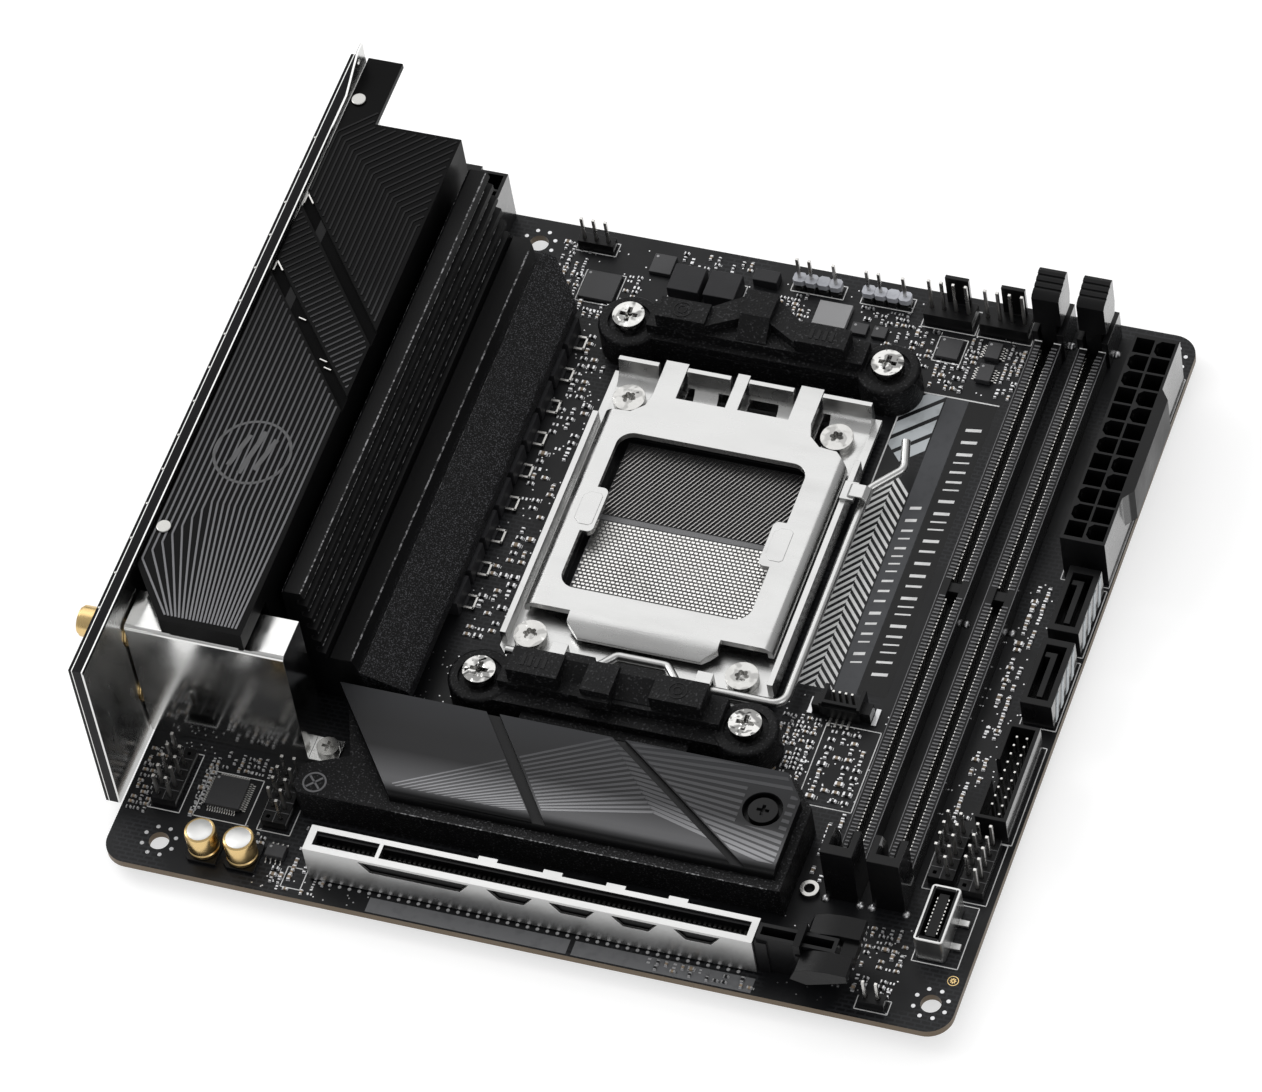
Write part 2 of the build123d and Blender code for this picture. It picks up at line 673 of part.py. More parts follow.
with BuildPart(BOARD) as cooler_bracket_far:
    for x in (COOLER_HOLES[2][0], COOLER_HOLES[3][0]):
        post(x, FAR_EAR, (0, EAR_TOP), EAR_RADIUS)
    fillet(cooler_bracket_far.edges().filter_by(GeomType.CIRCLE).group_by(Axis.Z)[-1], 0.8)
    block((COOLER_HOLES[2][0], COOLER_HOLES[3][0]), (140.2, 149.0), (BRACKET_LOW, EAR_TOP - 0.4))
    block((64.5, 109.5), (141.6, 147.4), (BRACKET_LOW, 9.4))
    for hook in (LEFT_HOOK, RIGHT_HOOK):
        block(hook, (142.0, 147.0), (EAR_TOP, HOOK_TOP - 0.4))
    # The middle hook is set back behind a sloping face.
    side_prism(
        [(142.0, 7.0), (142.0, 9.6), (146.0, HOOK_TOP), (152.2, HOOK_TOP), (152.2, 7.0)],
        (83.2, 89.4),
    )
    # Webs run slantwise from the outer hooks to the middle one.
    plan_prism([(76.4, 142.0), (83.6, 146.0), (83.6, 152.2), (76.4, 147.0)], (7.0, WEB_TOP - 0.8))
    plan_prism([(89.0, 146.0), (96.0, 142.0), (96.0, 147.0), (89.0, 152.2)], (7.0, WEB_TOP - 0.8))
    # A foot strip on the side towards the socket.
    block((70.0, 104.0), (140.0, 142.0), (BRACKET_LOW, 5.0))
    bracket_holes(FAR_EAR)
save(cooler_bracket_far, "cooler_bracket_far")

with BuildPart(BOARD) as cooler_screws:
    for x, y in COOLER_HOLES:
        post(x, y, (-3.6, 6.6), 1.75)
        post(x, y, (6.6, 9.2), 3.25)
        # Domed head with a cross recess.
        for angle in (0, 90):
            with Locations(Location((x, y, 8.7), (0, 0, angle))):
                Box(3.6, 0.9, 1.8, mode=Mode.SUBTRACT)
save(cooler_screws, "cooler_screws")

# Memory slots ---------------------------------------------------------------------------

KEY_Y = (96.0, 98.2)
RAIL_HALF = 2.8
GROOVE_HALF = 1.1


def memory_slot(name, x):
    """A slot body: two rails, a key rib, a fixed guide tower and the latch's cheeks."""
    with BuildPart(BOARD) as slot:
        block((x - RAIL_HALF, x + RAIL_HALF), MEMORY_Y, (0.1, MEMORY_RAIL_TOP))
        block(
            (x - GROOVE_HALF, x + GROOVE_HALF), (28.0, 160.0), (1.4, 9), mode=Mode.SUBTRACT
        )
        block((x - GROOVE_HALF, x + GROOVE_HALF), KEY_Y, (1.2, 4.2))
        # Guide tower at the near end, open towards the module.
        block((x - 3.2, x + 3.2), (MEMORY_Y[0], 30.8), (0.1, 15.0))
        block(
            (x - GROOVE_HALF, x + GROOVE_HALF), (27.0, 31.0), (1.4, 16), mode=Mode.SUBTRACT
        )
        front_prism(
            [(x - 2.0, 15.1), (x - GROOVE_HALF, 13.4), (x + GROOVE_HALF, 13.4), (x + 2.0, 15.1)],
            (26.6, 31.0),
            mode=Mode.SUBTRACT,
        )
        # Latch end: a thin floor and a cheek each side.
        block((x - 3.2, x + 3.2), (MEMORY_Y[1], 167.4), (0.1, 0.8))
        for side in (-3.2, 1.95):
            block((x + side, x + side + 1.25), (MEMORY_Y[1], 167.4), (0.1, 7.4))
    save(slot, name)


def memory_latch(name, x):
    """A swinging latch: a stem between the cheeks and a wide ribbed finger grip."""
    with BuildPart(BOARD) as latch:
        block((x - 1.6, x + 1.6), (160.0, 165.8), (1.9, 10.4))
        side_prism(
            [
                (159.8, 9.2),
                (165.6, 9.2),
                (166.4, 12.0),
                (166.4, 18.4),
                (165.6, 18.8),
                (160.4, 17.2),
                (159.8, 16.6),
            ],
            (x - 2.8, x + 2.8),
        )
        # Grip ribs across the top.
        for index in range(4):
            y = 161.6 + 1.3 * index
            z = 17.6 + 0.31 * (y - 160.4)
            block((x - 2.9, x + 2.9), (y, y + 0.55), (z - 0.55, z + 0.6), mode=Mode.SUBTRACT)
        # Pivot stubs.
        bar_x((x - 1.85, x + 1.85), LATCH_PIVOT_Y, LATCH_PIVOT_Z, 0.9)
    save(latch, name)


for letter, slot_x in zip("ab", MEMORY_X):
    memory_slot(f"memory_slot_{letter}", slot_x)
    memory_latch(f"memory_latch_{letter}", slot_x)

with BuildPart(BOARD) as slot_contacts:
    for slot_x in MEMORY_X:
        for low, high in ((31.6, 95.4), (98.8, 158.2)):
            for side in (-GROOVE_HALF, GROOVE_HALF - 0.3):
                block((slot_x + side, slot_x + side + 0.3), (low, high), (1.4, 4.4))
    for low, high in ((44.0, 55.2), (57.4, 129.4)):
        for y in (6.9, 8.6):
            block((low, high), (y, y + 0.3), (2.4, 7.0))
save(slot_contacts, "slot_contacts")

# Power connectors -----------------------------------------------------------------------

POWER_CELL = 3.7
ATX_ORIGIN = (162.98, 110.1)
CPU_ORIGIN = (11.0, 162.9)


def power_cells(origin, columns, rows, z):
    """Cuts terminal chambers, square or keyed by two cut corners, and lists their centres."""
    half = POWER_CELL / 2
    cut = 0.9
    centres = []
    for row in range(rows):
        for column in range(columns):
            x = origin[0] + POWER_PITCH * column
            y = origin[1] + POWER_PITCH * row
            centres.append((x, y))
            corner = cut if ((row + 1) // 2 + column) % 2 else 0.02
            outline = [
                (x - half, y - half + corner),
                (x - half + corner, y - half),
                (x + half, y - half),
                (x + half, y + half),
                (x - half + corner, y + half),
                (x - half, y + half - corner),
            ]
            plan_prism(outline, z, mode=Mode.SUBTRACT)
    return centres


with BuildPart(BOARD) as atx_power_header:
    block((160.6, 169.6), (107.4, 159.0), (0.1, 12.6))
    atx_cells = power_cells(ATX_ORIGIN, 2, 12, (2.6, 14))
    # The wedge-shaped latch catch on the outer face.
    plan_prism([(169.6, 119.2), (171.4, 121.6), (171.4, 144.4), (169.6, 146.8)], (4.0, 12.6))
save(atx_power_header, "atx_power_header")

with BuildPart(BOARD) as cpu_power_header:
    block((8.4, 26.2), (160.4, 169.6), (0.1, 13.0))
    cpu_cells = power_cells(CPU_ORIGIN, 4, 2, (2.6, 14))
    block((14.6, 20.0), (169.6, 171.2), (6.0, 12.0))
save(cpu_power_header, "cpu_power_header")

with BuildPart(BOARD) as power_pins:
    for x, y in atx_cells + cpu_cells:
        block((x - 0.55, x + 0.55), (y - 0.55, y + 0.55), (-BOARD_THICKNESS - 1.2, 8.6))
save(power_pins, "power_pins")

# Storage and internal data connectors ---------------------------------------------------

SATA_Y = [(72.0, 87.8), (89.9, 105.5)]

with BuildPart(BOARD) as sata_connectors:
    for low, high in SATA_Y:
        block((162.9, 169.2), (low, high), (0.1, 7.0))
        block((164.0, 168.0), (low + 1.5, high - 1.5), (1.5, 8), mode=Mode.SUBTRACT)
        # The L-shaped contact tongue.
        block((165.4, 166.6), (low + 2.4, high - 2.8), (1.5, 6.4))
        block((164.2, 165.4), (high - 4.0, high - 2.8), (1.5, 6.4))
save(sata_connectors, "sata_connectors")

USB3_X = (162.4, 168.6)
USB3_Y = (44.5, 67.0)
USB3_PITCH = 2.0

with BuildPart(BOARD) as usb3_header:
    block(USB3_X, USB3_Y, (0.1, 7.0))
    block(
        (USB3_X[0] + 0.8, USB3_X[1] - 0.8),
        (USB3_Y[0] + 0.8, USB3_Y[1] - 0.8),
        (1.6, 8),
        mode=Mode.SUBTRACT,
    )
    # Polarising notch in the inner wall.
    block((USB3_X[0] - 1, USB3_X[0] + 1), (53.4, 58.2), (2.4, 8), mode=Mode.SUBTRACT)
save(usb3_header, "usb3_header")

with BuildPart(BOARD) as usb_c_header:
    block((159.2, 165.0), (15.4, 28.4), (0.1, 6.4))
    fillet(usb_c_header.edges().filter_by(Axis.Z), 0.8)
    block((160.0, 164.2), (16.3, 27.5), (1.6, 8), mode=Mode.SUBTRACT)
    block((161.7, 162.5), (17.4, 26.4), (1.6, 5.8))
    for y in (18.6, 24.0):
        block((165.0, 167.0), (y, y + 1.4), (0.1, 0.9))
save(usb_c_header, "usb_c_header")

# Pin headers ----------------------------------------------------------------------------

HEADER_HEIGHT = 2.5
PIN_HEIGHT = 8.4


def header_grid(centre_x, centre_y, columns, rows, pitch=PIN_PITCH):
    """Pin centres of a rectangular header, as a list of X and Y pairs."""
    return [
        (
            centre_x + (column - (columns - 1) / 2) * pitch,
            centre_y + (row - (rows - 1) / 2) * pitch,
        )
        for row in range(rows)
        for column in range(columns)
    ]


def header_base(name, centres, pitch=PIN_PITCH):
    """The black plastic carrier under a group of header pins."""
    half = pitch / 2 - 0.05
    with BuildPart(BOARD) as base:
        for x, y in centres:
            block((x - half, x + half + 0.1), (y - half, y + half + 0.1), (0.1, HEADER_HEIGHT))
        for x, y in centres:
            block((x - 0.35, x + 0.35), (y - 0.35, y + 0.35), (0, 3), mode=Mode.SUBTRACT)
    save(base, name)


front_panel = header_grid(165.2, 37.0, 2, 5)
usb2 = header_grid(158.9, 38.5, 2, 5)
hd_audio = header_grid(8.3, 20.4, 2, 5)
service = header_grid(31.0, 20.4, 2, 5)
clear_cmos = header_grid(154.7, 3.4, 2, 1)
sensor = header_grid(45.1, 165.5, 3, 1)
usb3_pins = header_grid(165.5, 55.75, 2, 10, USB3_PITCH)

header_base("front_panel_header", front_panel)
header_base("usb2_header", usb2)
header_base("hd_audio_header", hd_audio)
header_base("service_header", service)
header_base("strip_headers", clear_cmos + sensor)

FAN_X = [120.4, 132.0]
FAN_Y = 163.5
FAN_BASE_TOP = 3.4
FAN_TAB_TOP = 10.9
FAN_PIN_HEIGHT = 11.5

with BuildPart(BOARD) as fan_headers:
    for x in FAN_X:
        block((x - 5.08, x + 5.08), (FAN_Y - 2.2, FAN_Y + 2.7), (0.1, FAN_BASE_TOP))
        # The locking tab stands behind the last two pins.
        block((x - 1.1, x + 3.8), (FAN_Y + 1.8, FAN_Y + 2.7), (FAN_BASE_TOP, FAN_TAB_TOP))
        for column in range(4):
            pin_x = x + (column - 1.5) * PIN_PITCH
            block((pin_x - 0.35, pin_x + 0.35), (FAN_Y - 0.35, FAN_Y + 0.35), (0, 4), Mode.SUBTRACT)
save(fan_headers, "fan_headers")

LED_X = [92.1, 106.6]
LED_Y = 165.2

with BuildPart(BOARD) as led_headers:
    for x in LED_X:
        block((x - 5.08, x + 5.08), (LED_Y - 1.25, LED_Y + 1.25), (0.1, 2.8))
        for column in range(4):
            pin_x = x + (column - 1.5) * PIN_PITCH
            block((pin_x - 0.35, pin_x + 0.35), (LED_Y - 0.35, LED_Y + 0.35), (0, 4), Mode.SUBTRACT)
save(led_headers, "led_headers")

fan_pins = [(x + (column - 1.5) * PIN_PITCH, FAN_Y) for x in FAN_X for column in range(4)]
led_pins = [(x + (column - 1.5) * PIN_PITCH, LED_Y) for x in LED_X for column in (0, 1, 3)]

with BuildPart(BOARD) as header_pins:
    half = PIN_SIDE / 2
    tall = front_panel[1:] + usb2[1:] + hd_audio[:-1] + service[1:] + sensor
    tall += led_pins
    for x, y in tall:
        block((x - half, x + half), (y - half, y + half), (-BOARD_THICKNESS - 1.0, PIN_HEIGHT))
    for x, y in fan_pins:
        block((x - half, x + half), (y - half, y + half), (-BOARD_THICKNESS - 1.0, FAN_PIN_HEIGHT))
    for x, y in clear_cmos:
        block((x - half, x + half), (y - half, y + half), (-BOARD_THICKNESS - 1.0, 7.4))
    for x, y in usb3_pins[1:]:
        block((x - 0.25, x + 0.25), (y - 0.25, y + 0.25), (-BOARD_THICKNESS - 1.0, 6.0))
save(header_pins, "header_pins")

with BuildPart(BOARD) as wafer_connector:
    # A shroud open at the top and towards the far side, four pins and two solder wings.
    block((124.8, 133.0), (64.4, 69.4), (0.1, 4.4))
    block((125.6, 132.2), (65.6, 70.0), (1.0, 5.0), mode=Mode.SUBTRACT)
    block((125.4, 132.4), (64.0, 64.9), (3.4, 5.0), mode=Mode.SUBTRACT)
    for low, high in ((123.0, 124.8), (133.0, 134.8)):
        block((low, high), (65.0, 67.8), (0, 2.8))
    for column in range(4):
        x = 127.02 + 1.25 * column
        block((x - 0.22, x + 0.22), (62.8, 64.6), (0, 0.4))
        block((x - 0.22, x + 0.22), (67.2, 67.64), (0.9, 5.0))
save(wafer_connector, "wafer_connector")

# Expansion slot -------------------------------------------------------------------------

PCIE_RAIL_Y = (6.1, 9.5)
PCIE_RAIL_TOP = 10.6

with BuildPart(BOARD) as pcie_slot_body:
    block((42.4, 134.0), (5.6, 10.0), (0.1, 9.4))
    for low, high in ((43.4, 55.8), (56.8, 130.0)):
        block((low, high), (6.9, 8.9), (1.8, 10), mode=Mode.SUBTRACT)
    # The end rail past the shell, with the groove that the card's hook enters and the
    # round seats for the latch's pivot pins.
    block((131.9, 147.4), PCIE_RAIL_Y, (0.1, PCIE_RAIL_TOP))
    block((132.6, 146.6), (6.9, 8.7), (3.0, 12), mode=Mode.SUBTRACT)
    with Locations(Location((PCIE_LATCH_X, PCIE_RAIL_Y[0] - 0.1, PCIE_LATCH_Z), (-90, 0, 0))):
        Cylinder(1.15, 3.6, align=(Align.CENTER, Align.CENTER, Align.MIN), mode=Mode.SUBTRACT)
save(pcie_slot_body, "pcie_slot_body")

WINDOWS = [(52.8, 75.2), (78.8, 88.0), (91.2, 100.4), (103.6, 112.8), (116.0, 125.2)]
WINDOW_LOW = 6.5
WINDOW_HIGH = 9.3
WINDOW_SLANT = 2.1

with BuildPart(BOARD) as pcie_slot_shield:
    block(PCIE_X, PCIE_Y, (0.4, PCIE_TOP))
    block((PCIE_X[0] + 0.5, PCIE_X[1] + 1), (5.4, 10.2), (0, PCIE_TOP - 0.45), mode=Mode.SUBTRACT)
    for low, high in ((43.2, 55.9), (56.7, 130.1)):
        block((low, high), (6.3, 9.5), (9, 11), mode=Mode.SUBTRACT)
    # Press windows along the near wall and tabs along the far one.
    for low, high in WINDOWS:
        front_prism(
            [
                (low, WINDOW_HIGH),
                (low + WINDOW_SLANT, WINDOW_LOW),
                (high - WINDOW_SLANT, WINDOW_LOW),
                (high, WINDOW_HIGH),
            ],
            (4.0, 5.5),
            mode=Mode.SUBTRACT,
        )
    for low in (75.2, 88.2, 100.8, 113.2):
        block((low, low + 3.8), (10.7, 11.5), (8.6, PCIE_TOP))
    block((PCIE_X[1] - 0.5, PCIE_X[1]), (5.4, 10.2), (PCIE_TOP - 2.0, PCIE_TOP - 0.4), Mode.SUBTRACT)
save(pcie_slot_shield, "pcie_slot_shield")

LATCH_WING = [
    (139.8, 6.5),
    (141.0, 9.4),
    (143.6, 10.5),
    (147.0, 11.0),
    (151.2, 11.0),
    (151.2, 9.0),
    (147.0, 7.2),
    (143.0, 5.6),
]

with BuildPart(BOARD) as pcie_slot_latch:
    # Two wings beside the end rail, each on an arm with a pivot pin, joined behind the rail.
    for wing, arm, pin in (
        ((1.2, 5.9), (4.7, 5.9), (5.0, 6.8)),
        ((9.7, 14.4), (9.7, 10.9), (8.8, 10.6)),
    ):
        front_prism(LATCH_WING, wing)
        block((139.9, 143.1), arm, (2.6, 9.0))
        with Locations(Location((PCIE_LATCH_X, pin[0], PCIE_LATCH_Z), (-90, 0, 0))):
            Cylinder(1.0, pin[1] - pin[0], align=(Align.CENTER, Align.CENTER, Align.MIN))
        post_y = (5.0, 5.9) if wing[0] < 5 else (9.7, 10.6)
        block((139.6, 141.0), post_y, (8.0, 11.9))
    block((148.2, 151.2), (5.4, 10.2), (7.9, 10.0))
    # The hook that holds the card down.
    block((139.6, 141.0), (5.0, 10.6), (11.0, 11.9))
save(pcie_slot_latch, "pcie_slot_latch")

# Storage module heatsink and chipset ----------------------------------------------------

M2_BASE_TOP = 7.9
M2_TOP = 10.5

with BuildPart(BOARD) as m2_base_plate:
    outline = [
        (35.4, 18.5),
        (132.4, 18.5),
        (132.4, 38.2),
        (127.4, 44.0),
        (36.6, 44.0),
        (42.4, 29.0),
        (34.0, 25.0),
        (34.0, 20.0),
    ]
    plan_prism(outline, (0.2, M2_BASE_TOP))
    # Room for the storage module, the chipset and their connector.
    block((44.4, 130.8), (20.2, 42.4), (0, 5.0), mode=Mode.SUBTRACT)
    post(*M2_SCREW, (4, 9), 1.7, mode=Mode.SUBTRACT)
save(m2_base_plate, "m2_base_plate")

with BuildPart(BOARD) as m2_cover_plate:
    plan_prism(
        [
            (53.4, 20.8),
            (130.6, 20.8),
            (130.6, 37.8),
            (126.4, 43.4),
            (35.4, 43.4),
        ],
        (M2_BASE_TOP, M2_TOP),
    )
    fillet(
        m2_cover_plate.edges().filter_by(Axis.X).group_by(Axis.Y)[0].sort_by(Axis.Z)[-1], 2.2
    )
    # Two slanting grooves across the plate.
    for top_x, foot_x in ((66.4, 84.6), (91.4, 125.0)):
        plan_prism(
            [(top_x - 1.3, 44), (top_x + 1.3, 44), (foot_x + 1.3, 20), (foot_x - 1.3, 20)],
            (M2_TOP - 0.9, M2_TOP + 1),
            mode=Mode.SUBTRACT,
        )
    post(*M2_SCREW, (M2_BASE_TOP + 0.6, M2_TOP + 1), 3.9, mode=Mode.SUBTRACT)
    post(*M2_SCREW, (M2_BASE_TOP - 1, M2_TOP), 1.7, mode=Mode.SUBTRACT)
save(m2_cover_plate, "m2_cover_plate")

with BuildPart(BOARD) as small_screws:
    post(*M2_SCREW, (0.4, M2_BASE_TOP + 0.6), 1.5)
    post(*M2_SCREW, (M2_BASE_TOP + 0.6, M2_TOP - 0.3), 2.9)
    post(*WIFI_SCREW, (-1.0, 0.8), 1.2)
    post(*WIFI_SCREW, (0.8, 1.9), 2.2)
    for x, y, z in ((*M2_SCREW, M2_TOP - 0.5), (*WIFI_SCREW, 1.7)):
        for angle in (0, 90):
            with Locations(Location((x, y, z), (0, 0, angle))):
                Box(2.4, 0.6, 1.0, mode=Mode.SUBTRACT)
save(small_screws, "small_screws")

with BuildPart(BOARD) as m2_standoff:
    post(135.4, 25.1, (0, 1.2), 1.9)
    post(135.4, 25.1, (-1, 2), 1.0, mode=Mode.SUBTRACT)
save(m2_standoff, "m2_standoff")

with BuildPart(BOARD) as m2_connector:
    block((45.0, 53.6), (21.0, 42.0), (0.1, 4.2))
    block((48.0, 54.0), (22.0, 41.0), (1.6, 2.8), mode=Mode.SUBTRACT)
save(m2_connector, "m2_connector")

with BuildPart(BOARD) as chipset:
    block((72.0, 91.0), (22.0, 41.0), (0.3, 1.4))
    block((76.5, 86.5), (26.5, 36.5), (1.4, 2.2))
save(chipset, "chipset")

# Audio parts, integrated circuits and passive parts -------------------------------------

AUDIO_CAPS = [(19.7, 6.4), (27.6, 6.4)]

with BuildPart(BOARD) as audio_capacitors:
    for x, y in AUDIO_CAPS:
        block((x - 3.3, x + 3.3), (y - 3.3, y + 3.3), (0, 0.9))
        post(x, y, (0.9, 7.0), 3.15)
    fillet(
        audio_capacitors.edges().filter_by(GeomType.CIRCLE).group_by(Axis.Z)[-1], 0.4
    )
save(audio_capacitors, "audio_capacitors")

CHIPS = [
    ((16.0, 23.0), (16.2, 23.2), 1.2),
    ((45.4, 52.7), (152.0, 159.0), 0.9),
    ((120.0, 124.6), (153.6, 158.6), 0.9),
    ((129.6, 132.6), (155.2, 159.2), 1.3),
    ((129.6, 132.6), (149.4, 153.6), 1.3),
    ((93.6, 100.5), (155.8, 161.8), 1.2),
    ((101.6, 105.0), (155.4, 158.2), 0.9),
    ((106.1, 109.0), (155.4, 158.2), 0.9),
    ((31.6, 35.4), (7.4, 10.2), 1.4),
    ((57.4, 62.0), (161.2, 166.0), 1.0),
]

with BuildPart(BOARD) as chip_packages:
    for x, y, height in CHIPS:
        block(x, y, (0, height))
save(chip_packages, "chip_packages")

with BuildPart(BOARD) as small_inductors:
    for low in (63.4, 71.0):
        block((low, low + 6.6), (155.6, 162.2), (0, 4.0))
    block((78.9, 84.1), (163.0, 166.0), (0, 2.2))
save(small_inductors, "small_inductors")
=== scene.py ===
"""Looks of a Mini-ITX motherboard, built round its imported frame."""

import json
import math
import random

import bmesh
import bpy
from mathutils import Matrix, Vector


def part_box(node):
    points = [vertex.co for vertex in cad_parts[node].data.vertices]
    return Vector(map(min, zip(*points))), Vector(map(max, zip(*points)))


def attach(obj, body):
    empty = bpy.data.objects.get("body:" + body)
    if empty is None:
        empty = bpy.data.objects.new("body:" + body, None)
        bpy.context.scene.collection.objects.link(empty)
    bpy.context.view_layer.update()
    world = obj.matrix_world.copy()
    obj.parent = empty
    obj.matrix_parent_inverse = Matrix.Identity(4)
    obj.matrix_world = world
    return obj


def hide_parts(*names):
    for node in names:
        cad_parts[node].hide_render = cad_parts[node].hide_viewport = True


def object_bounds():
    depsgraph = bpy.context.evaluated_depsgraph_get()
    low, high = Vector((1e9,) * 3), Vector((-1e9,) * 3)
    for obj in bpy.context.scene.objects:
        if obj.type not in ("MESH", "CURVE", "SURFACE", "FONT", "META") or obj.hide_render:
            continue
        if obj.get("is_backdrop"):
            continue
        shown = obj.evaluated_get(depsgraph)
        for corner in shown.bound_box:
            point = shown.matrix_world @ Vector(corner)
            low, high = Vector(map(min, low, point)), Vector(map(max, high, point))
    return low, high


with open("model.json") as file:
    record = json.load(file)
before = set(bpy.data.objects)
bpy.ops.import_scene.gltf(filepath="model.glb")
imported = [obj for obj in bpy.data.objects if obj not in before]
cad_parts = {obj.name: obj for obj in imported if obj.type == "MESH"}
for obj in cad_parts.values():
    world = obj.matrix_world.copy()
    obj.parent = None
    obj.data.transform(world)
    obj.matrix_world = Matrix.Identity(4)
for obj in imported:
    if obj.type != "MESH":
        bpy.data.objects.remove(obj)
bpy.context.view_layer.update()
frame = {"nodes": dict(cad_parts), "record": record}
nodes = frame["nodes"]
MM = 0.001
JET = (0.0036, 0.0036, 0.004)
board_low, board_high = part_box("circuit_board")
draw = random.Random(7)


def at(x, y, z=0.0):
    """A point given in board millimetres, as a point of the frame in metres."""
    return Vector((board_low.x + x * MM, board_low.y + y * MM, board_high.z + z * MM))


# Materials -----


def fill(node, values):
    """Sets unlinked inputs of a shader node."""
    for key, value in values.items():
        node.inputs[key].default_value = value


class Shading:
    """Adds linked nodes to a node tree."""

    def __init__(self, tree):
        self.tree = tree

    def node(self, kind, values=None, **settings):
        """A new node with some inputs and settings filled in."""
        made = self.tree.nodes.new(kind)
        for key, value in settings.items():
            setattr(made, key, value)
        fill(made, values or {})
        return made

    def link(self, source, target):
        self.tree.links.new(source, target)

    def ramp(self, source, low, high, low_value=0.0, high_value=1.0):
        """Maps a signal between two limits to a pair of values."""
        limits = {"From Min": low, "From Max": high, "To Min": low_value, "To Max": high_value}
        made = self.node("ShaderNodeMapRange", limits)
        self.link(source, made.inputs["Value"])
        return made.outputs["Result"]

    def axis(self, source, letter):
        """One axis of a vector signal."""
        parts = self.node("ShaderNodeSeparateXYZ")
        self.link(source, parts.inputs[0])
        return parts.outputs[letter]


class Surface(Shading):
    """A procedural material built up step by step round one Principled shader."""

    def __init__(self, name, color, roughness, metallic=0.0, specular=0.5):
        self.material = bpy.data.materials.new(name)
        self.material.use_nodes = True
        super().__init__(self.material.node_tree)
        self.shader = self.tree.nodes["Principled BSDF"]
        self.color = color
        self.roughness = roughness
        fill(self.shader, {"Base Color": (*color, 1.0), "Roughness": roughness})
        fill(self.shader, {"Metallic": metallic, "Specular IOR Level": specular})
        self.coordinates = self.node("ShaderNodeTexCoord").outputs["Object"]
        self.bump = None

    def stretched(self, stretch):
        """Object coordinates multiplied by a factor for each axis."""
        mapping = self.node("ShaderNodeMapping", {"Scale": stretch})
        self.link(self.coordinates, mapping.inputs["Vector"])
        return mapping.outputs["Vector"]

    def noise(self, scale, detail=3.0, stretch=(1, 1, 1)):
        """A noise over the object's own coordinates."""
        texture = self.node("ShaderNodeTexNoise", {"Scale": scale, "Detail": detail})
        self.link(self.stretched(stretch), texture.inputs["Vector"])
        return texture.outputs["Fac"]

    def math(self, operation, a, b):
        """An operation on two signals or numbers."""
        made = self.node("ShaderNodeMath", operation=operation)
        for index, value in enumerate((a, b)):
            if isinstance(value, (int, float)):
                made.inputs[index].default_value = value
            else:
                self.link(value, made.inputs[index])
        return made.outputs[0]

    def where(self, axis, low, high):
        """Rises from zero to one between two board coordinates in millimetres."""
        corner = at(0, 0, 0)["XYZ".index(axis)]
        return self.ramp(self.axis(self.coordinates, axis), corner + low * MM, corner + high * MM)

    def tint(self, source, other, amount=1.0):
        """Mixes another colour over the base wherever the signal is high."""
        mix = self.node("ShaderNodeMix", data_type="RGBA")
        self.link(self.math("MULTIPLY", source, amount), mix.inputs["Factor"])
        socket = self.shader.inputs["Base Color"]
        if socket.is_linked:
            self.link(socket.links[0].from_socket, mix.inputs["A"])
        else:
            mix.inputs["A"].default_value = (*self.color, 1.0)
        mix.inputs["B"].default_value = (*other, 1.0)
        self.link(mix.outputs["Result"], socket)

    def patches(self, scale, detail, low, high, other, amount=1.0, stretch=(1, 1, 1)):
        """Mixes another colour over the base wherever a noise is high."""
        self.tint(self.ramp(self.noise(scale, detail, stretch), low, high), other, amount)

    def mottle(self, scale, spread, detail=3.0, stretch=(1, 1, 1)):
        """Varies the roughness by a noise."""
        source = self.noise(scale, detail, stretch)
        low = max(self.roughness - spread, 0.02)
        high = min(self.roughness + spread, 1.0)
        self.link(self.ramp(source, 0.3, 0.7, low, high), self.shader.inputs["Roughness"])

    def relief(self, source, height):
        """Adds a bump of a height in millimetres from a signal."""
        made = self.node("ShaderNodeBump", {"Distance": height * MM, "Strength": 1.0})
        self.link(source, made.inputs["Height"])
        if self.bump is not None:
            self.link(self.bump.outputs["Normal"], made.inputs["Normal"])
        self.bump = made
        self.link(made.outputs["Normal"], self.shader.inputs["Normal"])

    def grain(self, scale, height, detail=2.0, stretch=(1, 1, 1)):
        """Adds a noisy bump."""
        self.relief(self.noise(scale, detail, stretch), height)


def scaled(color, factor):
    """A colour made darker or lighter."""
    return tuple(channel * factor for channel in color)


def solder_mask():
    """Black solder mask over faint copper tracks, with the bare laminate on the edges."""
    made = Surface("solder_mask", (0.0062, 0.0064, 0.0074), 0.4, specular=0.22)
    made.grain(900, 0.01)
    black, white = (0, 0, 0, 1), (1, 1, 1, 1)
    bricks = {"Scale": 260, "Mortar Size": 0.05, "Color1": black, "Color2": black, "Mortar": white}
    tracks = made.node("ShaderNodeTexBrick", bricks)
    made.link(made.stretched((1, 1, 0.01)), tracks.inputs["Vector"])
    region = made.ramp(made.noise(45, 1.0), 0.5, 0.56)
    lines = made.math("MULTIPLY", tracks.outputs["Fac"], region)
    made.relief(lines, 0.02)
    made.tint(lines, (0.022, 0.023, 0.026), 0.7)
    made.mottle(120, 0.08)
    normal = made.node("ShaderNodeNewGeometry").outputs["Normal"]
    upright = made.math("ABSOLUTE", made.axis(normal, "Z"), 0)
    made.tint(made.math("LESS_THAN", upright, 0.5), (0.13, 0.095, 0.06))
    return made


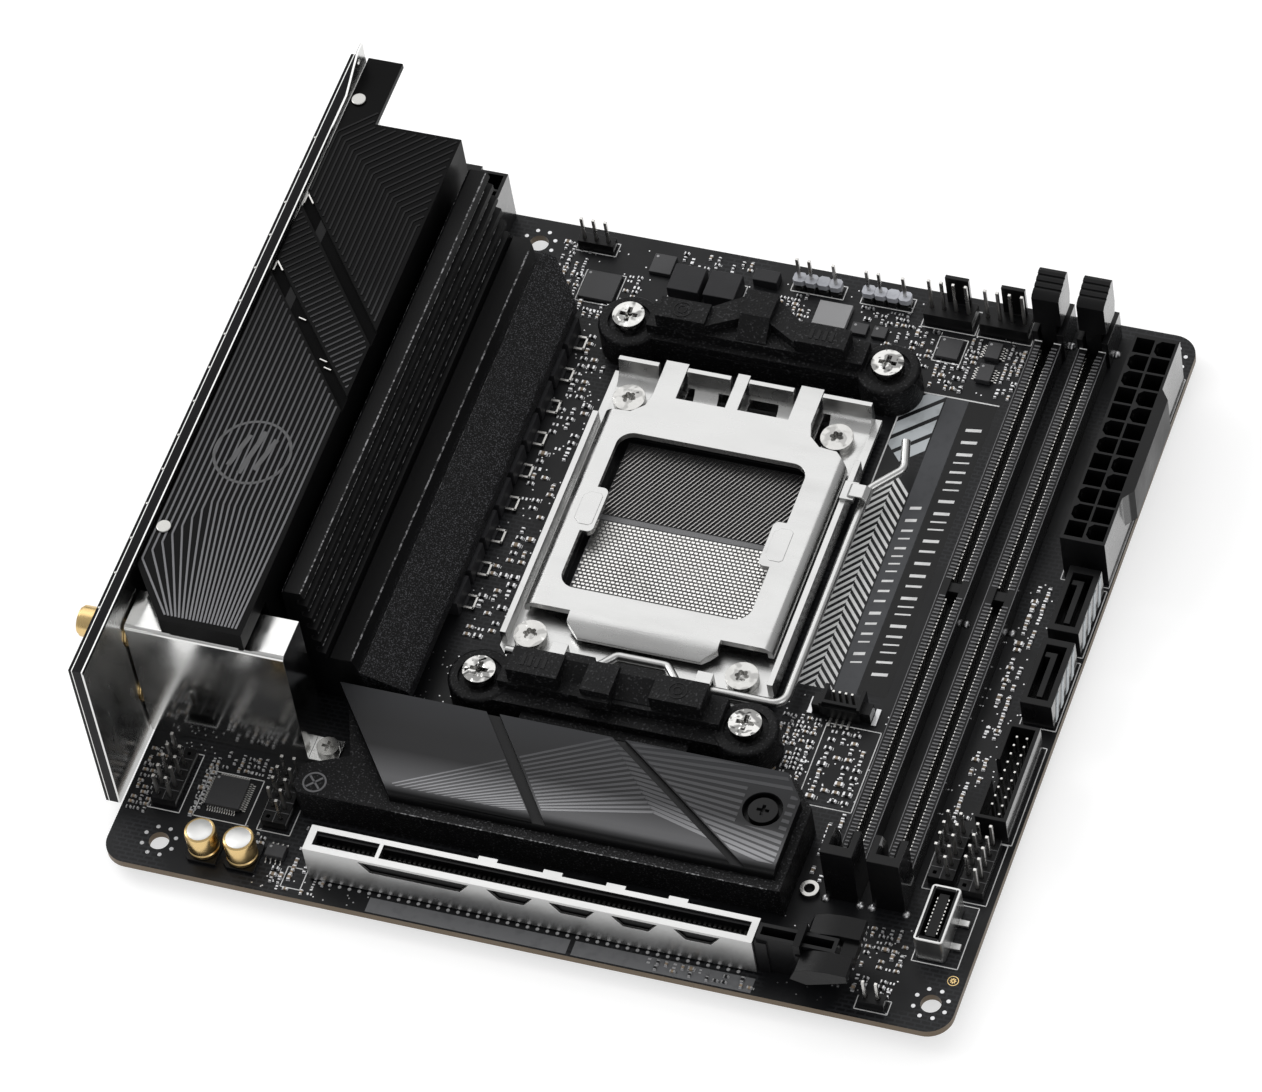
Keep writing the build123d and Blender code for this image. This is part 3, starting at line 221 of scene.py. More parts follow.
def powder_coat():
    """Black coat on the heatsink: satin on the ridges, coarse sparkle on the low slope."""
    made = Surface("powder_coat", JET, 0.46, specular=0.15)
    slope = made.where("X", 38.0, 39.0)
    speck = made.noise(3800, 1.0)
    bright = made.math("MULTIPLY", made.ramp(speck, 0.54, 0.7), slope)
    made.tint(bright, (0.085, 0.086, 0.094))
    made.relief(made.math("MULTIPLY", speck, slope), 0.16)
    made.grain(900, 0.02)
    made.mottle(60, 0.06)
    return made


def sparkle_black(name, specks, scale):
    """A coarse textured black coat with fine bright specks."""
    made = Surface(name, (0.0045, 0.0045, 0.005), 0.5, specular=0.16)
    speck = made.noise(scale, 1.0)
    made.tint(made.ramp(speck, 0.6, 0.7), (0.09, 0.09, 0.095), specks)
    made.relief(speck, 0.14)
    made.mottle(80, 0.08)
    return made


def moulded(name, color, roughness=0.42, height=0.03, scale=600, specular=0.28, flank_sheen=0.0):
    """Moulded plastic: fine tooth, uneven gloss, colour drift, and a painted sheen: a glossy coat
    only on faces that point towards +X.
    """
    made = Surface(name, color, roughness, specular=specular)
    if flank_sheen:
        # Painted sheen: a clear coat only on faces that point towards +X, short of the board's right
        # edge, so that side shows a bright reflection.
        normal = made.node("ShaderNodeNewGeometry").outputs["True Normal"]
        flank = made.math("GREATER_THAN", made.axis(normal, "X"), 0.7)
        flank = made.math("MULTIPLY", flank, made.where("X", 170.6, 170.4))
        made.link(made.math("MULTIPLY", flank, flank_sheen), made.shader.inputs["Coat Weight"])
        fill(made.shader, {"Coat Roughness": 0.1, "Coat IOR": 1.8})
    made.grain(scale, height)
    made.mottle(90, 0.08)
    lighter = tuple(min(channel * 1.7 + 0.003, 1) for channel in color)
    made.patches(35, 2.0, 0.45, 0.75, lighter, 0.5)
    return made


def cover_sheet_painted_highlight(name, far, near, specular):
    """Satin black cover with a painted highlight: its colour pales towards its near end."""
    made = Surface(name, (far, far, far * 1.1), 0.36, specular=specular)
    made.grain(900, 0.012)
    made.mottle(90, 0.08)
    # Painted highlight: paler colour towards the near end.
    made.tint(made.where("Y", 118.0, 34.0), (near, near, near * 1.05))
    return made


def flecked_edge():
    """A ridge edge broken into bright flecks, a painted highlight along the edge."""
    made = Surface("flecked_edge", (0.012, 0.012, 0.013), 0.4, specular=0.35)
    made.patches(1500, 2.0, 0.48, 0.62, (0.36, 0.36, 0.37))
    made.grain(900, 0.02)
    return made


def stamped_steel(name, color, roughness, wave=0.0):
    """Bright stamped sheet: fine rolling marks, faint smears and a slight waviness."""
    made = Surface(name, color, roughness, metallic=1.0)
    made.grain(260, 0.008, 2.0, (1, 14, 1))
    if wave:
        made.grain(26, wave, 1.0)
    made.mottle(70, 0.07, 4.0, (1, 3, 1))
    made.patches(40, 5.0, 0.5, 0.8, scaled(color, 0.78), 0.5, (1, 4, 1))
    return made


def shield_sheet():
    """The port shield: bright inside, with a black gasket round its outer edge and painted shade on
    its top beside the cover.
    """
    made = stamped_steel("shield_sheet", (0.7, 0.7, 0.69), 0.22, 0.2)
    fill(made.shader, {"Specular IOR Level": 0.08})
    seam = made.math("MULTIPLY", made.where("X", -3.44, -3.4), made.where("X", -3.22, -3.26))
    gasket = made.math("SUBTRACT", made.where("X", -1.4, -1.44), seam)
    # Painted shade: black on the top beside the cover, short of the far end.
    painted_cover_shade = made.math("MULTIPLY", made.where("X", -1.16, -1.12), made.where("Z", 39.55, 39.6))
    painted_cover_shade = made.math("MULTIPLY", painted_cover_shade, made.where("Y", 153.0, 152.0))
    # The band joins the gasket and the painted shade.
    band = made.math("MAXIMUM", gasket, painted_cover_shade)
    made.tint(band, (0.006, 0.006, 0.007))
    made.link(made.ramp(band, 0, 1, 1, 0), made.shader.inputs["Metallic"])
    return made


def plated(name, color, roughness, wave=0.0):
    """Plated metal with small pits and smears, and dents where a wave is given."""
    made = Surface(name, color, roughness, metallic=1.0)
    made.grain(900, 0.01)
    if wave:
        made.grain(520, wave, 1.0)
        made.patches(420, 1.0, 0.5, 0.58, scaled(color, 0.2), wave)
    made.mottle(200, 0.08)
    made.patches(160, 4.0, 0.55, 0.8, scaled(color, 0.6), 0.5)
    return made


def anodised(name, low, high, specular):
    """Dark anodised plate with painted light: a paler far end, a bright painted highlight band just
    before its rounded near edge, and painted shade in its grooves and on that edge.
    """
    made = Surface(name, (low, low, low * 1.08), 0.36, metallic=0.35, specular=specular)
    made.grain(420, 0.006, 2.0, (12, 1, 1))
    made.mottle(50, 0.05)
    # Painted light: paler towards the far end.
    made.tint(made.where("Y", 36.0, 44.0), (0.022, 0.023, 0.026), 0.8)
    # Painted highlight: a bright band just before the rounded near edge.
    band = made.math("MULTIPLY", made.where("Y", 31.0, 24.6), made.where("Y", 21.6, 23.4))
    made.tint(band, (high, high, high * 1.04))
    # Painted shade: darker below the top face, in the grooves and on the rounded near edge.
    made.tint(made.where("Z", 10.2, 10.0), (0.0035, 0.0035, 0.004))
    return made


def ink(name, color):
    """Printed ink with slightly worn coverage."""
    made = Surface(name, color, 0.55, specular=0.3)
    made.grain(1100, 0.006)
    made.patches(500, 3.0, 0.5, 0.75, scaled(color, 0.7), 0.6)
    return made


SURFACES = {
    "mask": solder_mask(),
    "powder": powder_coat(),
    "sparkle": sparkle_black("textured_black", 0.6, 2400),
    "black": moulded("black_plastic", JET, 0.34, specular=0.2, flank_sheen=1.0),
    "satin": moulded("satin_black", JET, 0.32, 0.012, 900, 0.2, 0.6),
    "cover": cover_sheet_painted_highlight("cover_sheet_painted_highlight", 0.0015, 0.003, 0.06),
    "latch": moulded("latch_plastic", (0.0024, 0.0024, 0.0027), 0.34, 0.03, 600, 0.14),
    # Painted shade: near-black floor colour for the cover's recesses.
    "recess": moulded("recess_shade_black", (0.0008, 0.0008, 0.0009), 0.5, specular=0.03),
    # The ribs carry a strong painted highlight towards the near end.
    "rib": cover_sheet_painted_highlight("cover_rib", 0.006, 0.2, 0.14),
    # Bright flecks for painted edge highlights.
    "fleck": flecked_edge(),
    "badge": moulded("badge_grey", (0.05, 0.05, 0.052), 0.3, 0.01, 900, 0.5),
    "tooth": moulded("contact_tooth", (0.11, 0.11, 0.115), 0.4, 0.01, 900, 0.4),
    "ear": sparkle_black("textured_plastic", 0.35, 2000),
    "chip": moulded("chip_epoxy", (0.03, 0.03, 0.032), 0.42, 0.03, 1200, 0.4),
    "chip_grey": moulded("chip_metal_top", (0.3, 0.3, 0.305), 0.4, 0.02, 1200),
    "ferrite": moulded("ferrite", (0.018, 0.018, 0.02), 0.55, 0.05, 900),
    "led": moulded("grey_plastic", (0.4, 0.41, 0.445), 0.45),
    "pad": moulded("thermal_pad", (0.3, 0.3, 0.32), 0.7, 0.06, 500),
    "steel": stamped_steel("stamped_steel", (0.54, 0.54, 0.535), 0.27),
    "shell": stamped_steel("bright_shell", (0.74, 0.74, 0.73), 0.16, 0.35),
    "shield": shield_sheet(),
    "slot_steel": stamped_steel("slot_steel", (0.58, 0.58, 0.575), 0.33),
    "nickel": plated("nickel", (0.46, 0.455, 0.44), 0.17),
    "chrome": plated("chrome", (0.6, 0.595, 0.58), 0.1, 0.8),
    "dull_chrome": plated("dull_chrome", (0.52, 0.515, 0.5), 0.2, 0.4),
    "can_top": plated("satin_aluminium", (0.8, 0.8, 0.79), 0.4),
    "gold": plated("gold", (0.72, 0.52, 0.24), 0.28),
    "pin": plated("tinned_pin", (0.62, 0.61, 0.59), 0.28),
    # Painted shade: a darker copy of the pin colour, used on the power pins.
    "pin_in_shade": plated("shaded_pin", (0.16, 0.155, 0.15), 0.4),
    # Lit and shaded copies of the contact colour: painted light for the near field, painted shade for
    # the far one.
    "contact": plated("contact_spring", (0.8, 0.79, 0.77), 0.4),
    "far_contact_in_shade": plated("shaded_contact", (0.42, 0.41, 0.4), 0.35),
    "contact_floor": moulded("contact_floor", (0.16, 0.16, 0.165), 0.4, 0.02, 1200),
    "solder": plated("solder", (0.62, 0.62, 0.63), 0.34),
    "plate": anodised("anodised_plate", 0.012, 0.09, 0.3),
    "plate_line": anodised("anodised_line", 0.04, 0.26, 0.5),
    "ceramic": moulded("ceramic", (0.26, 0.2, 0.14), 0.5, 0.02, 1500),
    "resistor": moulded("resistor_body", (0.01, 0.01, 0.011), 0.35, 0.02, 1500),
    "ink": ink("white_ink", (0.74, 0.74, 0.74)),
    "ink_grey": ink("grey_ink", (0.5, 0.53, 0.55)),
    "ink_dark": ink("dark_grey_ink", (0.055, 0.057, 0.062)),
    "ink_mid": ink("mid_grey_ink", (0.15, 0.152, 0.158)),
    "ink_black": ink("black_ink", (0.002, 0.002, 0.0024)),
}

# Mesh building -----


def circle(x, y, radius, steps, shift=0.0):
    """Evenly spaced points round a centre, turned by a share of a step."""
    turn = [math.tau * (i + shift) / steps for i in range(steps)]
    return [(x + radius * math.cos(a), y + radius * math.sin(a)) for a in turn]


def tapered(start, end, start_width, end_width):
    """The outline of a bar that widens from its start to its end."""
    run, rise = end[0] - start[0], end[1] - start[1]
    length = math.hypot(run, rise)
    across = (-rise / length / 2, run / length / 2)
    corners = ((start, -start_width), (end, -end_width), (end, end_width), (start, start_width))
    return [(x + across[0] * width, y + across[1] * width) for (x, y), width in corners]


def cut_corners(x, y, left, right):
    """A plan rectangle with its left and its right corners cut off."""
    (x0, x1), (y0, y1) = x, y
    outline = [(x0, y0 + left), (x0 + left, y0), (x1 - right, y0), (x1, y0 + right)]
    outline += [(x1, y1 - right), (x1 - right, y1), (x0 + left, y1), (x0, y1 - left)]
    return list(dict.fromkeys(outline))


def slanting(x0, x1, near, far):
    """A plan strip between two X values; each edge has its Y at X = 0 and its fall."""
    corners = ((x0, near), (x1, near), (x1, far), (x0, far))
    return [(x, y - fall * x) for x, (y, fall) in corners]


def about(middle, half):
    """The span that reaches half a width to both sides of a middle."""
    return middle - half, middle + half


def beside(middle, side, near, far):
    """The span from near to far on one side of a middle."""
    return sorted((middle + side * near, middle + side * far))


def row_of(first, pitch, count):
    """Evenly spaced positions from the first."""
    return [first + pitch * index for index in range(count)]


def grid(columns, rows):
    """Plan points at every crossing of the columns with the rows."""
    return [(x, y) for y in rows for x in columns]


def pitched(low, high, pitch):
    """Evenly spaced positions between two limits."""
    return row_of(low, pitch, int((high - low) / pitch))


def blend(start, end, share):
    """The point a share of the way between two others."""
    return tuple(a + (b - a) * share for a, b in zip(start, end))


def bands(count, loops, steps):
    """Faces of the bands between neighbouring loops of corners."""
    pairs = [(k * steps, (k + 1) % loops * steps) for k in range(count)]
    turns = [(i, (i + 1) % steps) for i in range(steps)]
    return [(low + i, low + j, high + j, high + i) for low, high in pairs for i, j in turns]


BATCHES = []
BOX_FACES = ((0, 2, 3, 1), (4, 5, 7, 6), (0, 1, 5, 4), (2, 6, 7, 3), (0, 4, 6, 2), (1, 3, 7, 5))


def add_object(name, data):
    """A new object in the scene."""
    made = bpy.data.objects.new(name, data)
    bpy.context.scene.collection.objects.link(made)
    return made


class Batch:
    """Gathers simple closed solids, given in board millimetres, into one mesh."""

    def __init__(self, name, material, slot, body="board", bevel=0.0, node=None):
        self.name = name
        self.looks = (material, slot, body, bevel, node)
        self.points = []
        self.faces = []
        BATCHES.append(self)

    def add(self, points, faces):
        start = len(self.points)
        self.points += [at(*point) for point in points]
        self.faces += [[start + index for index in face] for face in faces]

    def box(self, x, y, z):
        self.add([(a, b, c) for c in z for b in y for a in x], BOX_FACES)

    def loft(self, low, high):
        """Joins two matching loops of corners into a closed solid."""
        count = len(low)
        sides = [(i, (i + 1) % count, count + (i + 1) % count, count + i) for i in range(count)]
        self.add(low + high, [tuple(range(count))[::-1], tuple(range(count, 2 * count)), *sides])

    def prism(self, outline, z, lean=(0, 0)):
        """A plan outline, counter-clockwise, raised between two heights."""
        low = [(x, y, z[0]) for x, y in outline]
        self.loft(low, [(x + lean[0], y + lean[1], z[1]) for x, y in outline])

    def disc(self, x, y, z, radius, steps=24):
        """A flat round plate."""
        self.prism(circle(x, y, radius, steps), z)

    def ring(self, x, y, z, inner, outer, steps=32):
        """A flat round band."""
        loops = ((outer, z[0]), (outer, z[1]), (inner, z[1]), (inner, z[0]))
        points = [(a, b, height) for r, height in loops for a, b in circle(x, y, r, steps)]
        self.add(points, bands(len(loops), len(loops), steps))

    def turned(self, x, y, profile, steps=40):
        """A profile of radius and height pairs turned about an upright axis."""
        count = len(profile)
        points = [(a, b, height) for r, height in profile for a, b in circle(x, y, r, steps)]
        foot = tuple(range(steps))[::-1]
        top = tuple(range((count - 1) * steps, count * steps))
        self.add(points, [foot, *bands(count - 1, count, steps), top])

    def strip(self, start, end, width, z):
        """A straight bar of a width between two plan points."""
        self.prism(tapered(start, end, width, width), z)

    def finish(self):
        """Makes the piece once everything has been added to it."""
        mesh = bpy.data.meshes.new(self.name)
        mesh.from_pydata(self.points, [], self.faces)
        dress(add_object(self.name, mesh), *self.looks)


def dress(shape, material, slot, body, bevel, node):
    """Gives a piece its material, its soft edges, and its place on a body."""
    built = bmesh.new()
    built.from_mesh(shape.data)
    if node:
        bmesh.ops.remove_doubles(built, verts=built.verts, dist=2e-6)
        flat = math.radians(0.6)
        bmesh.ops.dissolve_limit(built, angle_limit=flat, verts=built.verts, edges=built.edges)
    bmesh.ops.recalc_face_normals(built, faces=built.faces)
    limit = math.radians(32)
    for edge in built.edges:
        edge.smooth = len(edge.link_faces) == 2 and edge.calc_face_angle(0) < limit
    for face in built.faces:
        face.smooth = True
    built.to_mesh(shape.data)
    built.free()
    shape.data.materials.clear()
    shape.data.materials.append(SURFACES[material].material)
    if bevel:
        soft = shape.modifiers.new("soft_edges", "BEVEL")
        soft.width = bevel * MM
        soft.segments = 2
        soft.limit_method = "ANGLE"
        soft.angle_limit = math.radians(35)
        soft.use_clamp_overlap = True
        soft.harden_normals = True
    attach(shape, body)
    if node:
        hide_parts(node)


SLOTS = {entry["node"]: entry["material_slot"] for entry in frame["record"]["subparts"]}
BODIES = frame["record"]["behaviour"]["bodies"]
BODY_OF = {node: body for body, members in BODIES.items() for node in members}


def refine(node, material, bevel, keep=None, label="finish"):
    """Stands a copy with softened edges in place of a CAD node, or of the part kept."""
    shape = add_object(f"{node}_{label}", nodes[node].data.copy())
    if keep:
        built = bmesh.new()
        built.from_mesh(shape.data)
        spare = [face for face in built.faces if not keep(face.calc_center_median())]
        bmesh.ops.delete(built, geom=spare, context="FACES")
        built.to_mesh(shape.data)
        built.free()
    dress(shape, material, SLOTS[node], BODY_OF[node], bevel, node)


def clip_to(outline, region):
    """The part of a convex outline inside a convex, counter-clockwise region."""
    for (ax, ay), (bx, by) in zip(region, region[1:] + region[:1]):
        depths = [(bx - ax) * (y - ay) - (by - ay) * (x - ax) for x, y in outline]
        corners = list(zip(outline, depths))
        outline = []
        for (current, here), (following, there) in zip(corners, corners[1:] + corners[:1]):
            if here >= 0:
                outline.append(current)
            if here * there < 0:
                outline.append(blend(current, following, here / (here - there)))
        if len(outline) < 3:
            return []
    return outline


def area(outline):
    """The area inside an outline, in square millimetres."""
    pairs = zip(outline, outline[1:] + outline[:1])
    return abs(sum(a[0] * b[1] - b[0] * a[1] for a, b in pairs)) / 2


def stripes(batch, region, direction, pitch, width, z):
    """Fills a convex region with parallel bars at an angle in degrees."""
    turn = math.radians(direction)
    along = (math.cos(turn), math.sin(turn))
    across = (-along[1], along[0])
    spans = [x * across[0] + y * across[1] for x, y in region]
    reach = 400
    first = math.floor(min(spans) / pitch) - 1
    for index in range(first, math.ceil(max(spans) / pitch) + 2):
        low, high = index * pitch, index * pitch + width
        corners = ((low, -reach), (low, reach), (high, reach), (high, -reach))
        bar = [tuple(across[i] * a + along[i] * b for i in (0, 1)) for a, b in corners]
        piece = clip_to(bar, region)
        if piece and area(piece) > 0.01:
            batch.prism(piece, z)


# CAD nodes with softened edges and finished materials -----

# Each finish: a material and a bevel in millimetres, with the nodes that have it.
REFINED = {
    ("steel", 0.4): "socket_load_plate",
    ("steel", 0.15): "socket_frame",
    ("powder", 0.3): "vrm_heatsink socket_backplate",
    ("cover", 0.25): "io_cover",
    ("sparkle", 0.3): "m2_base_plate",
    ("plate", 0.2): "m2_cover_plate",
    ("shield", 0.08): "io_shield",
    ("shell", 0.12): "wifi_shield lan_connector",
    ("shell", 0.08): "usb_connectors display_connectors",
    ("slot_steel", 0.15): "usb_c_header",
    ("slot_steel", 0.12): "pcie_slot_shield",
    ("ear", 0.35): "cooler_bracket_near cooler_bracket_far",
    ("chrome", 0.45): "cooler_screws",
    ("dull_chrome", 0.4): "socket_screws",
    ("nickel", 0.2): "cover_rivets heatsink_screws",
    ("nickel", 0.1): "m2_standoff",
    ("gold", 0.12): "antenna_connectors",
    ("pin", 0.1): "header_pins",
    ("pin_in_shade", 0.12): "power_pins",
    ("ferrite", 0.2): "small_inductors",
    ("latch", 0.3): "pcie_slot_latch",
    ("black", 0.1): "memory_slot_a memory_slot_b sata_connectors usb3_header wafer_connector",
    ("black", 0.12): "atx_power_header cpu_power_header front_panel_header usb2_header fan_headers"
    " hd_audio_header service_header strip_headers pcie_slot_body socket_body",
    ("black", 0.15): "memory_latch_a memory_latch_b firmware_button",
    ("black", 0.2): "audio_jacks",
}
for (material, bevel), names in REFINED.items():
    for node in names.split():
        refine(node, material, bevel)

MIDDLE_X = at(80, 0).x
refine("small_screws", "nickel", 0.15, lambda point: point.x < MIDDLE_X, "bright")
refine("small_screws", "satin", 0.15, lambda point: point.x >= MIDDLE_X, "dark")

# Nodes that stay as they are, by the material that each one gets.
PAINTED = {
    "mask": "circuit_board wifi_card",
    "steel": "socket_lever",
    "black": "button_switch m2_connector",
    "chip": "power_stages chipset",
    "ferrite": "power_chokes",
    "pad": "thermal_pads",
}
for material, names in PAINTED.items():
    for node in names.split():
        nodes[node].data.materials.clear()
        nodes[node].data.materials.append(SURFACES[material].material)

# Land-grid contacts -----

CONTACT_PITCH_X = 0.94
CONTACT_PITCH_Y = 0.81
FIELD_X = (68.4, 106.0)
FAR_FIELD_Y = (99.1, 117.4)
NEAR_FIELD_Y = (79.6, 97.9)
LAND_FLOOR = (2.4, 2.7)
LAND_SPRING = (2.7, 3.15)


def socket_contact_field():
    """Two fields of small spring contacts that lean opposite ways, painted lit and shaded: the far
    field has darker contacts and floor (painted shade), the near field paler ones (painted light).
    """
    far_blade = [(-0.36, -0.38), (-0.16, -0.38), (0.36, 0.38), (0.16, 0.38)]
    near_blade = [(-0.32, -0.22), (0.32, -0.22), (0.32, 0.22), (-0.32, 0.22)]
    for label, (low, high), blade, lean, material in (
        ("far", FAR_FIELD_Y, far_blade, (0, 0), "far_contact_in_shade"),
        ("near", NEAR_FIELD_Y, near_blade, (0.12, 0.16), "contact"),
    ):
        springs = Batch(f"contact_springs_{label}", material, "gold")
        for row in range(int((high - low) / CONTACT_PITCH_Y)):
            for column in range(int((FIELD_X[1] - FIELD_X[0]) / CONTACT_PITCH_X)):
                x = FIELD_X[0] + 0.5 + CONTACT_PITCH_X * (column + 0.5 * (row % 2))
                y = low + 0.45 + CONTACT_PITCH_Y * row
                if x <= FIELD_X[1] - 0.6:
                    springs.prism([(x + a, y + b) for a, b in blade], LAND_SPRING, lean)
    # Painted shade: the far floor is darker than the near one.
    far_floor = Batch("contact_floor_far", "chip", "black_plastic")
    near_floor = Batch("contact_floor_near", "contact_floor", "black_plastic", node="socket_contacts")
    far_floor.box(FIELD_X, FAR_FIELD_Y, LAND_FLOOR)
    near_floor.box(FIELD_X, NEAR_FIELD_Y, LAND_FLOOR)
    near_floor.box(FIELD_X, (NEAR_FIELD_Y[1], FAR_FIELD_Y[0]), (2.4, 2.9))


socket_contact_field()

# Slot contacts -----

MEMORY_X = (142.1, 151.3)
# Each slot's contacts lie in two spans, to both sides of its key.
TOOTH_SPANS = ((31.2, 95.6), (98.6, 158.4))
FINGER_SPANS = ((31.6, 95.2), (98.9, 158.0))
EXPANSION_SPANS = ((44.0, 55.2), (57.4, 129.4))
GROOVE_HALF = 1.1
MEMORY_PITCH = 0.85
EXPANSION_PITCH = 1.0
EXPANSION_PINS = 43
RAIL_TOP = 4.7
TAB_Y = (24.3, 92.0, 162.5)
TAB_PROFILE = ((0.85, 0.0), (0.85, 0.2), (0.6, 0.6), (0.2, 0.8))


def slot_contact_rows():
    """Fingers, rail teeth and tabs of the memory and expansion slots, each at its pitch."""
    fingers = Batch("slot_contact_fingers", "pin", "gold", node="slot_contacts")
    teeth = Batch("memory_rail_teeth", "tooth", "black_plastic")
    lines = Batch("memory_rail_lines", "ink", "grey_plastic")
    tabs = Batch("memory_solder_tabs", "solder", "nickel")
    for slot_x in MEMORY_X:
        tooth = (RAIL_TOP, RAIL_TOP + 0.22)
        for low, high in TOOTH_SPANS:
            for y in pitched(low, high, MEMORY_PITCH):
                for side in (-1, 1):
                    teeth.box(beside(slot_x, side, 1.14, 2.3), (y, y + 0.3), tooth)
        for side in (-1, 1):
            # Painted highlight: a thin pale strip along each rail's outer edge.
            teeth.box(beside(slot_x, side, 2.66, 2.8), (31.2, 158.6), (RAIL_TOP, RAIL_TOP + 0.16))
            lines.box(beside(slot_x, side, 1.2, 2.7), (158.7, 158.95), (RAIL_TOP, RAIL_TOP + 0.14))
        for reach in (-3.4, 3.5):
            for y in TAB_Y:
                tabs.turned(slot_x + reach, y, TAB_PROFILE, 16)
        for low, high in FINGER_SPANS:
            for y in pitched(low, high, MEMORY_PITCH):
                for side in (-1, 1):
                    across = beside(slot_x, side, GROOVE_HALF - 0.28, GROOVE_HALF - 0.02)
                    fingers.box(across, (y, y + 0.42), (1.5, 4.3))
    for low, high in EXPANSION_SPANS:
        for x in pitched(low, high, EXPANSION_PITCH):
            for y in (6.92, 8.62):
                fingers.box((x, x + 0.5), (y, y + 0.26), (2.4, 6.9))


slot_contact_rows()

# Capacitors and chips -----

AUDIO_CAPS = ((19.7, 6.4), (27.6, 6.4))
CAP_HALF = 3.3


def audio_capacitors():
    """Two sleeved cans with a neck groove and a pale top, on bases with two corners cut."""
    base = Batch("capacitor_bases", "black", "black_plastic", bevel=0.12)
    can = Batch("capacitor_cans", "gold", "gold", node="audio_capacitors")
    top = Batch("capacitor_tops", "can_top", "nickel")
    sleeve = [(2.7, 0.9), (3.05, 1.1), (3.1, 1.8), (2.85, 2.05), (3.1, 2.35), (3.12, 6.1)]
    rim = [(2.95, 6.6), (2.6, 6.78), (2.45, 6.7)]
    for x, y in AUDIO_CAPS:
        base.prism(cut_corners(about(x, CAP_HALF), about(y, CAP_HALF), 1.0, 0.0), (0.02, 0.9))
        can.turned(x, y, sleeve + rim)
        top.turned(x, y, [(2.5, 6.6), (2.5, 6.72), (2.3, 6.8), (0.2, 6.82)])


audio_capacitors()

# Each chip: X range, Y range, height, and which sides have legs or what its lid is.
CHIPS = (
    ((16.0, 23.0), (16.2, 23.2), 1.2, "quad"),
    ((45.4, 52.7), (152.0, 159.0), 0.9, "none"),
    ((120.0, 124.6), (153.6, 158.6), 0.9, "none"),
    ((129.6, 132.6), (155.2, 159.2), 1.3, "x"),
    ((129.6, 132.6), (149.4, 153.6), 1.3, "x"),
    ((93.6, 100.5), (155.8, 161.8), 1.2, "grey"),
    ((101.6, 105.0), (155.4, 158.2), 0.9, "none"),
    ((106.1, 109.0), (155.4, 158.2), 0.9, "none"),
    ((31.6, 35.4), (7.4, 10.2), 1.4, "y"),
    ((57.4, 62.0), (161.2, 166.0), 1.0, "none"),
)

# The three boxes of a bent leg: reach from the package's edge, then height.
LEG_STEPS = (((0.0, 0.45), (0.45, 0.62)), ((0.4, 0.55), (0.1, 0.62)), ((0.5, 1.05), (0.02, 0.16)))
LEG_HALF = 0.11


def gull_legs(edges, middle, count, pitch):
    """Spans of the bent legs along two facing sides of a package."""
    for edge, outward in zip(edges, (-1, 1)):
        for index in range(count):
            along = middle + (index - (count - 1) / 2) * pitch
            for (near, far), height in LEG_STEPS:
                yield beside(edge, outward, near, far), about(along, LEG_HALF), height


def chips():
    """Moulded packages with bevelled tops, a pin-one dimple and their legs."""
    dark = Batch("chip_bodies", "chip", "chip", bevel=0.12, node="chip_packages")
    grey = Batch("chip_lid", "chip_grey", "chip", bevel=0.1)
    legs = Batch("chip_legs", "pin", "nickel")
    dimples = Batch("chip_dimples", "chip_grey", "chip")
    for x, y, height, style in CHIPS:
        body = grey if style == "grey" else dark
        body.box(x, y, (0.05, height))
        dimples.disc(x[0] + 0.7, y[1] - 0.7, (height, height + 0.01), 0.28)
        if style in ("x", "quad"):
            pitch = 0.5 if style == "quad" else 0.65
            count = int((y[1] - y[0] - 0.4) / pitch)
            for span_x, span_y, z in gull_legs(x, sum(y) / 2, count, pitch):
                legs.box(span_x, span_y, z)
        if style in ("y", "quad"):
            count, pitch = (12, 0.5) if style == "quad" else (4, 1.0)
            for span_y, span_x, z in gull_legs(y, sum(x) / 2, count, pitch):
                legs.box(span_x, span_y, z)


chips()

# Small parts on the board -----

# Each cluster: X range, Y range, column pitch, row pitch, share filled.
CLUSTERS = (
    ((38.0, 44.8), (150.5, 166.0), 1.7, 1.25, 0.75),
    ((53.4, 57.0), (149.0, 160.4), 1.7, 1.25, 0.8),
    ((45.6, 53.0), (147.6, 151.6), 1.5, 1.2, 0.7),
    ((50.5, 57.4), (66.0, 146.0), 2.3, 1.9, 0.5),
    ((62.4, 78.0), (163.0, 168.6), 1.8, 1.3, 0.5),
    ((85.0, 92.6), (156.0, 163.2), 1.6, 1.25, 0.6),
    ((101.6, 112.4), (159.2, 163.4), 1.6, 1.25, 0.75),
    ((108.6, 119.2), (150.4, 160.6), 1.7, 1.3, 0.65),
    ((120.2, 128.0), (146.2, 152.8), 1.6, 1.25, 0.7),
    ((125.6, 128.4), (153.4, 160.0), 1.5, 1.2, 0.8),
    ((133.8, 137.8), (146.4, 160.2), 1.5, 1.25, 0.75),
    ((117.4, 125.6), (44.6, 64.0), 1.5, 1.1, 0.8),
    ((127.4, 136.6), (45.0, 62.6), 2.2, 1.9, 0.75),
    ((155.8, 159.8), (44.6, 104.0), 1.9, 1.5, 0.6),
    ((133.4, 137.4), (27.6, 43.6), 1.9, 1.5, 0.6),
    ((145.6, 157.6), (5.4, 20.6), 1.7, 1.4, 0.72),
    ((110.0, 137.0), (0.8, 3.4), 1.7, 1.3, 0.5),
    ((33.6, 45.4), (0.9, 6.2), 1.6, 1.3, 0.55),
    ((25.0, 30.4), (9.9, 13.4), 1.5, 1.2, 0.7),
    ((13.4, 15.4), (13.4, 27.4), 1.2, 1.0, 0.8),
    ((15.8, 26.4), (24.9, 29.4), 1.6, 1.4, 0.85),
    ((0.8, 5.4), (11.8, 28.6), 1.6, 1.3, 0.7),
    ((36.8, 41.2), (5.8, 27.6), 1.9, 1.6, 0.5),
    ((34.6, 46.4), (47.6, 64.6), 1.9, 1.6, 0.55),
)


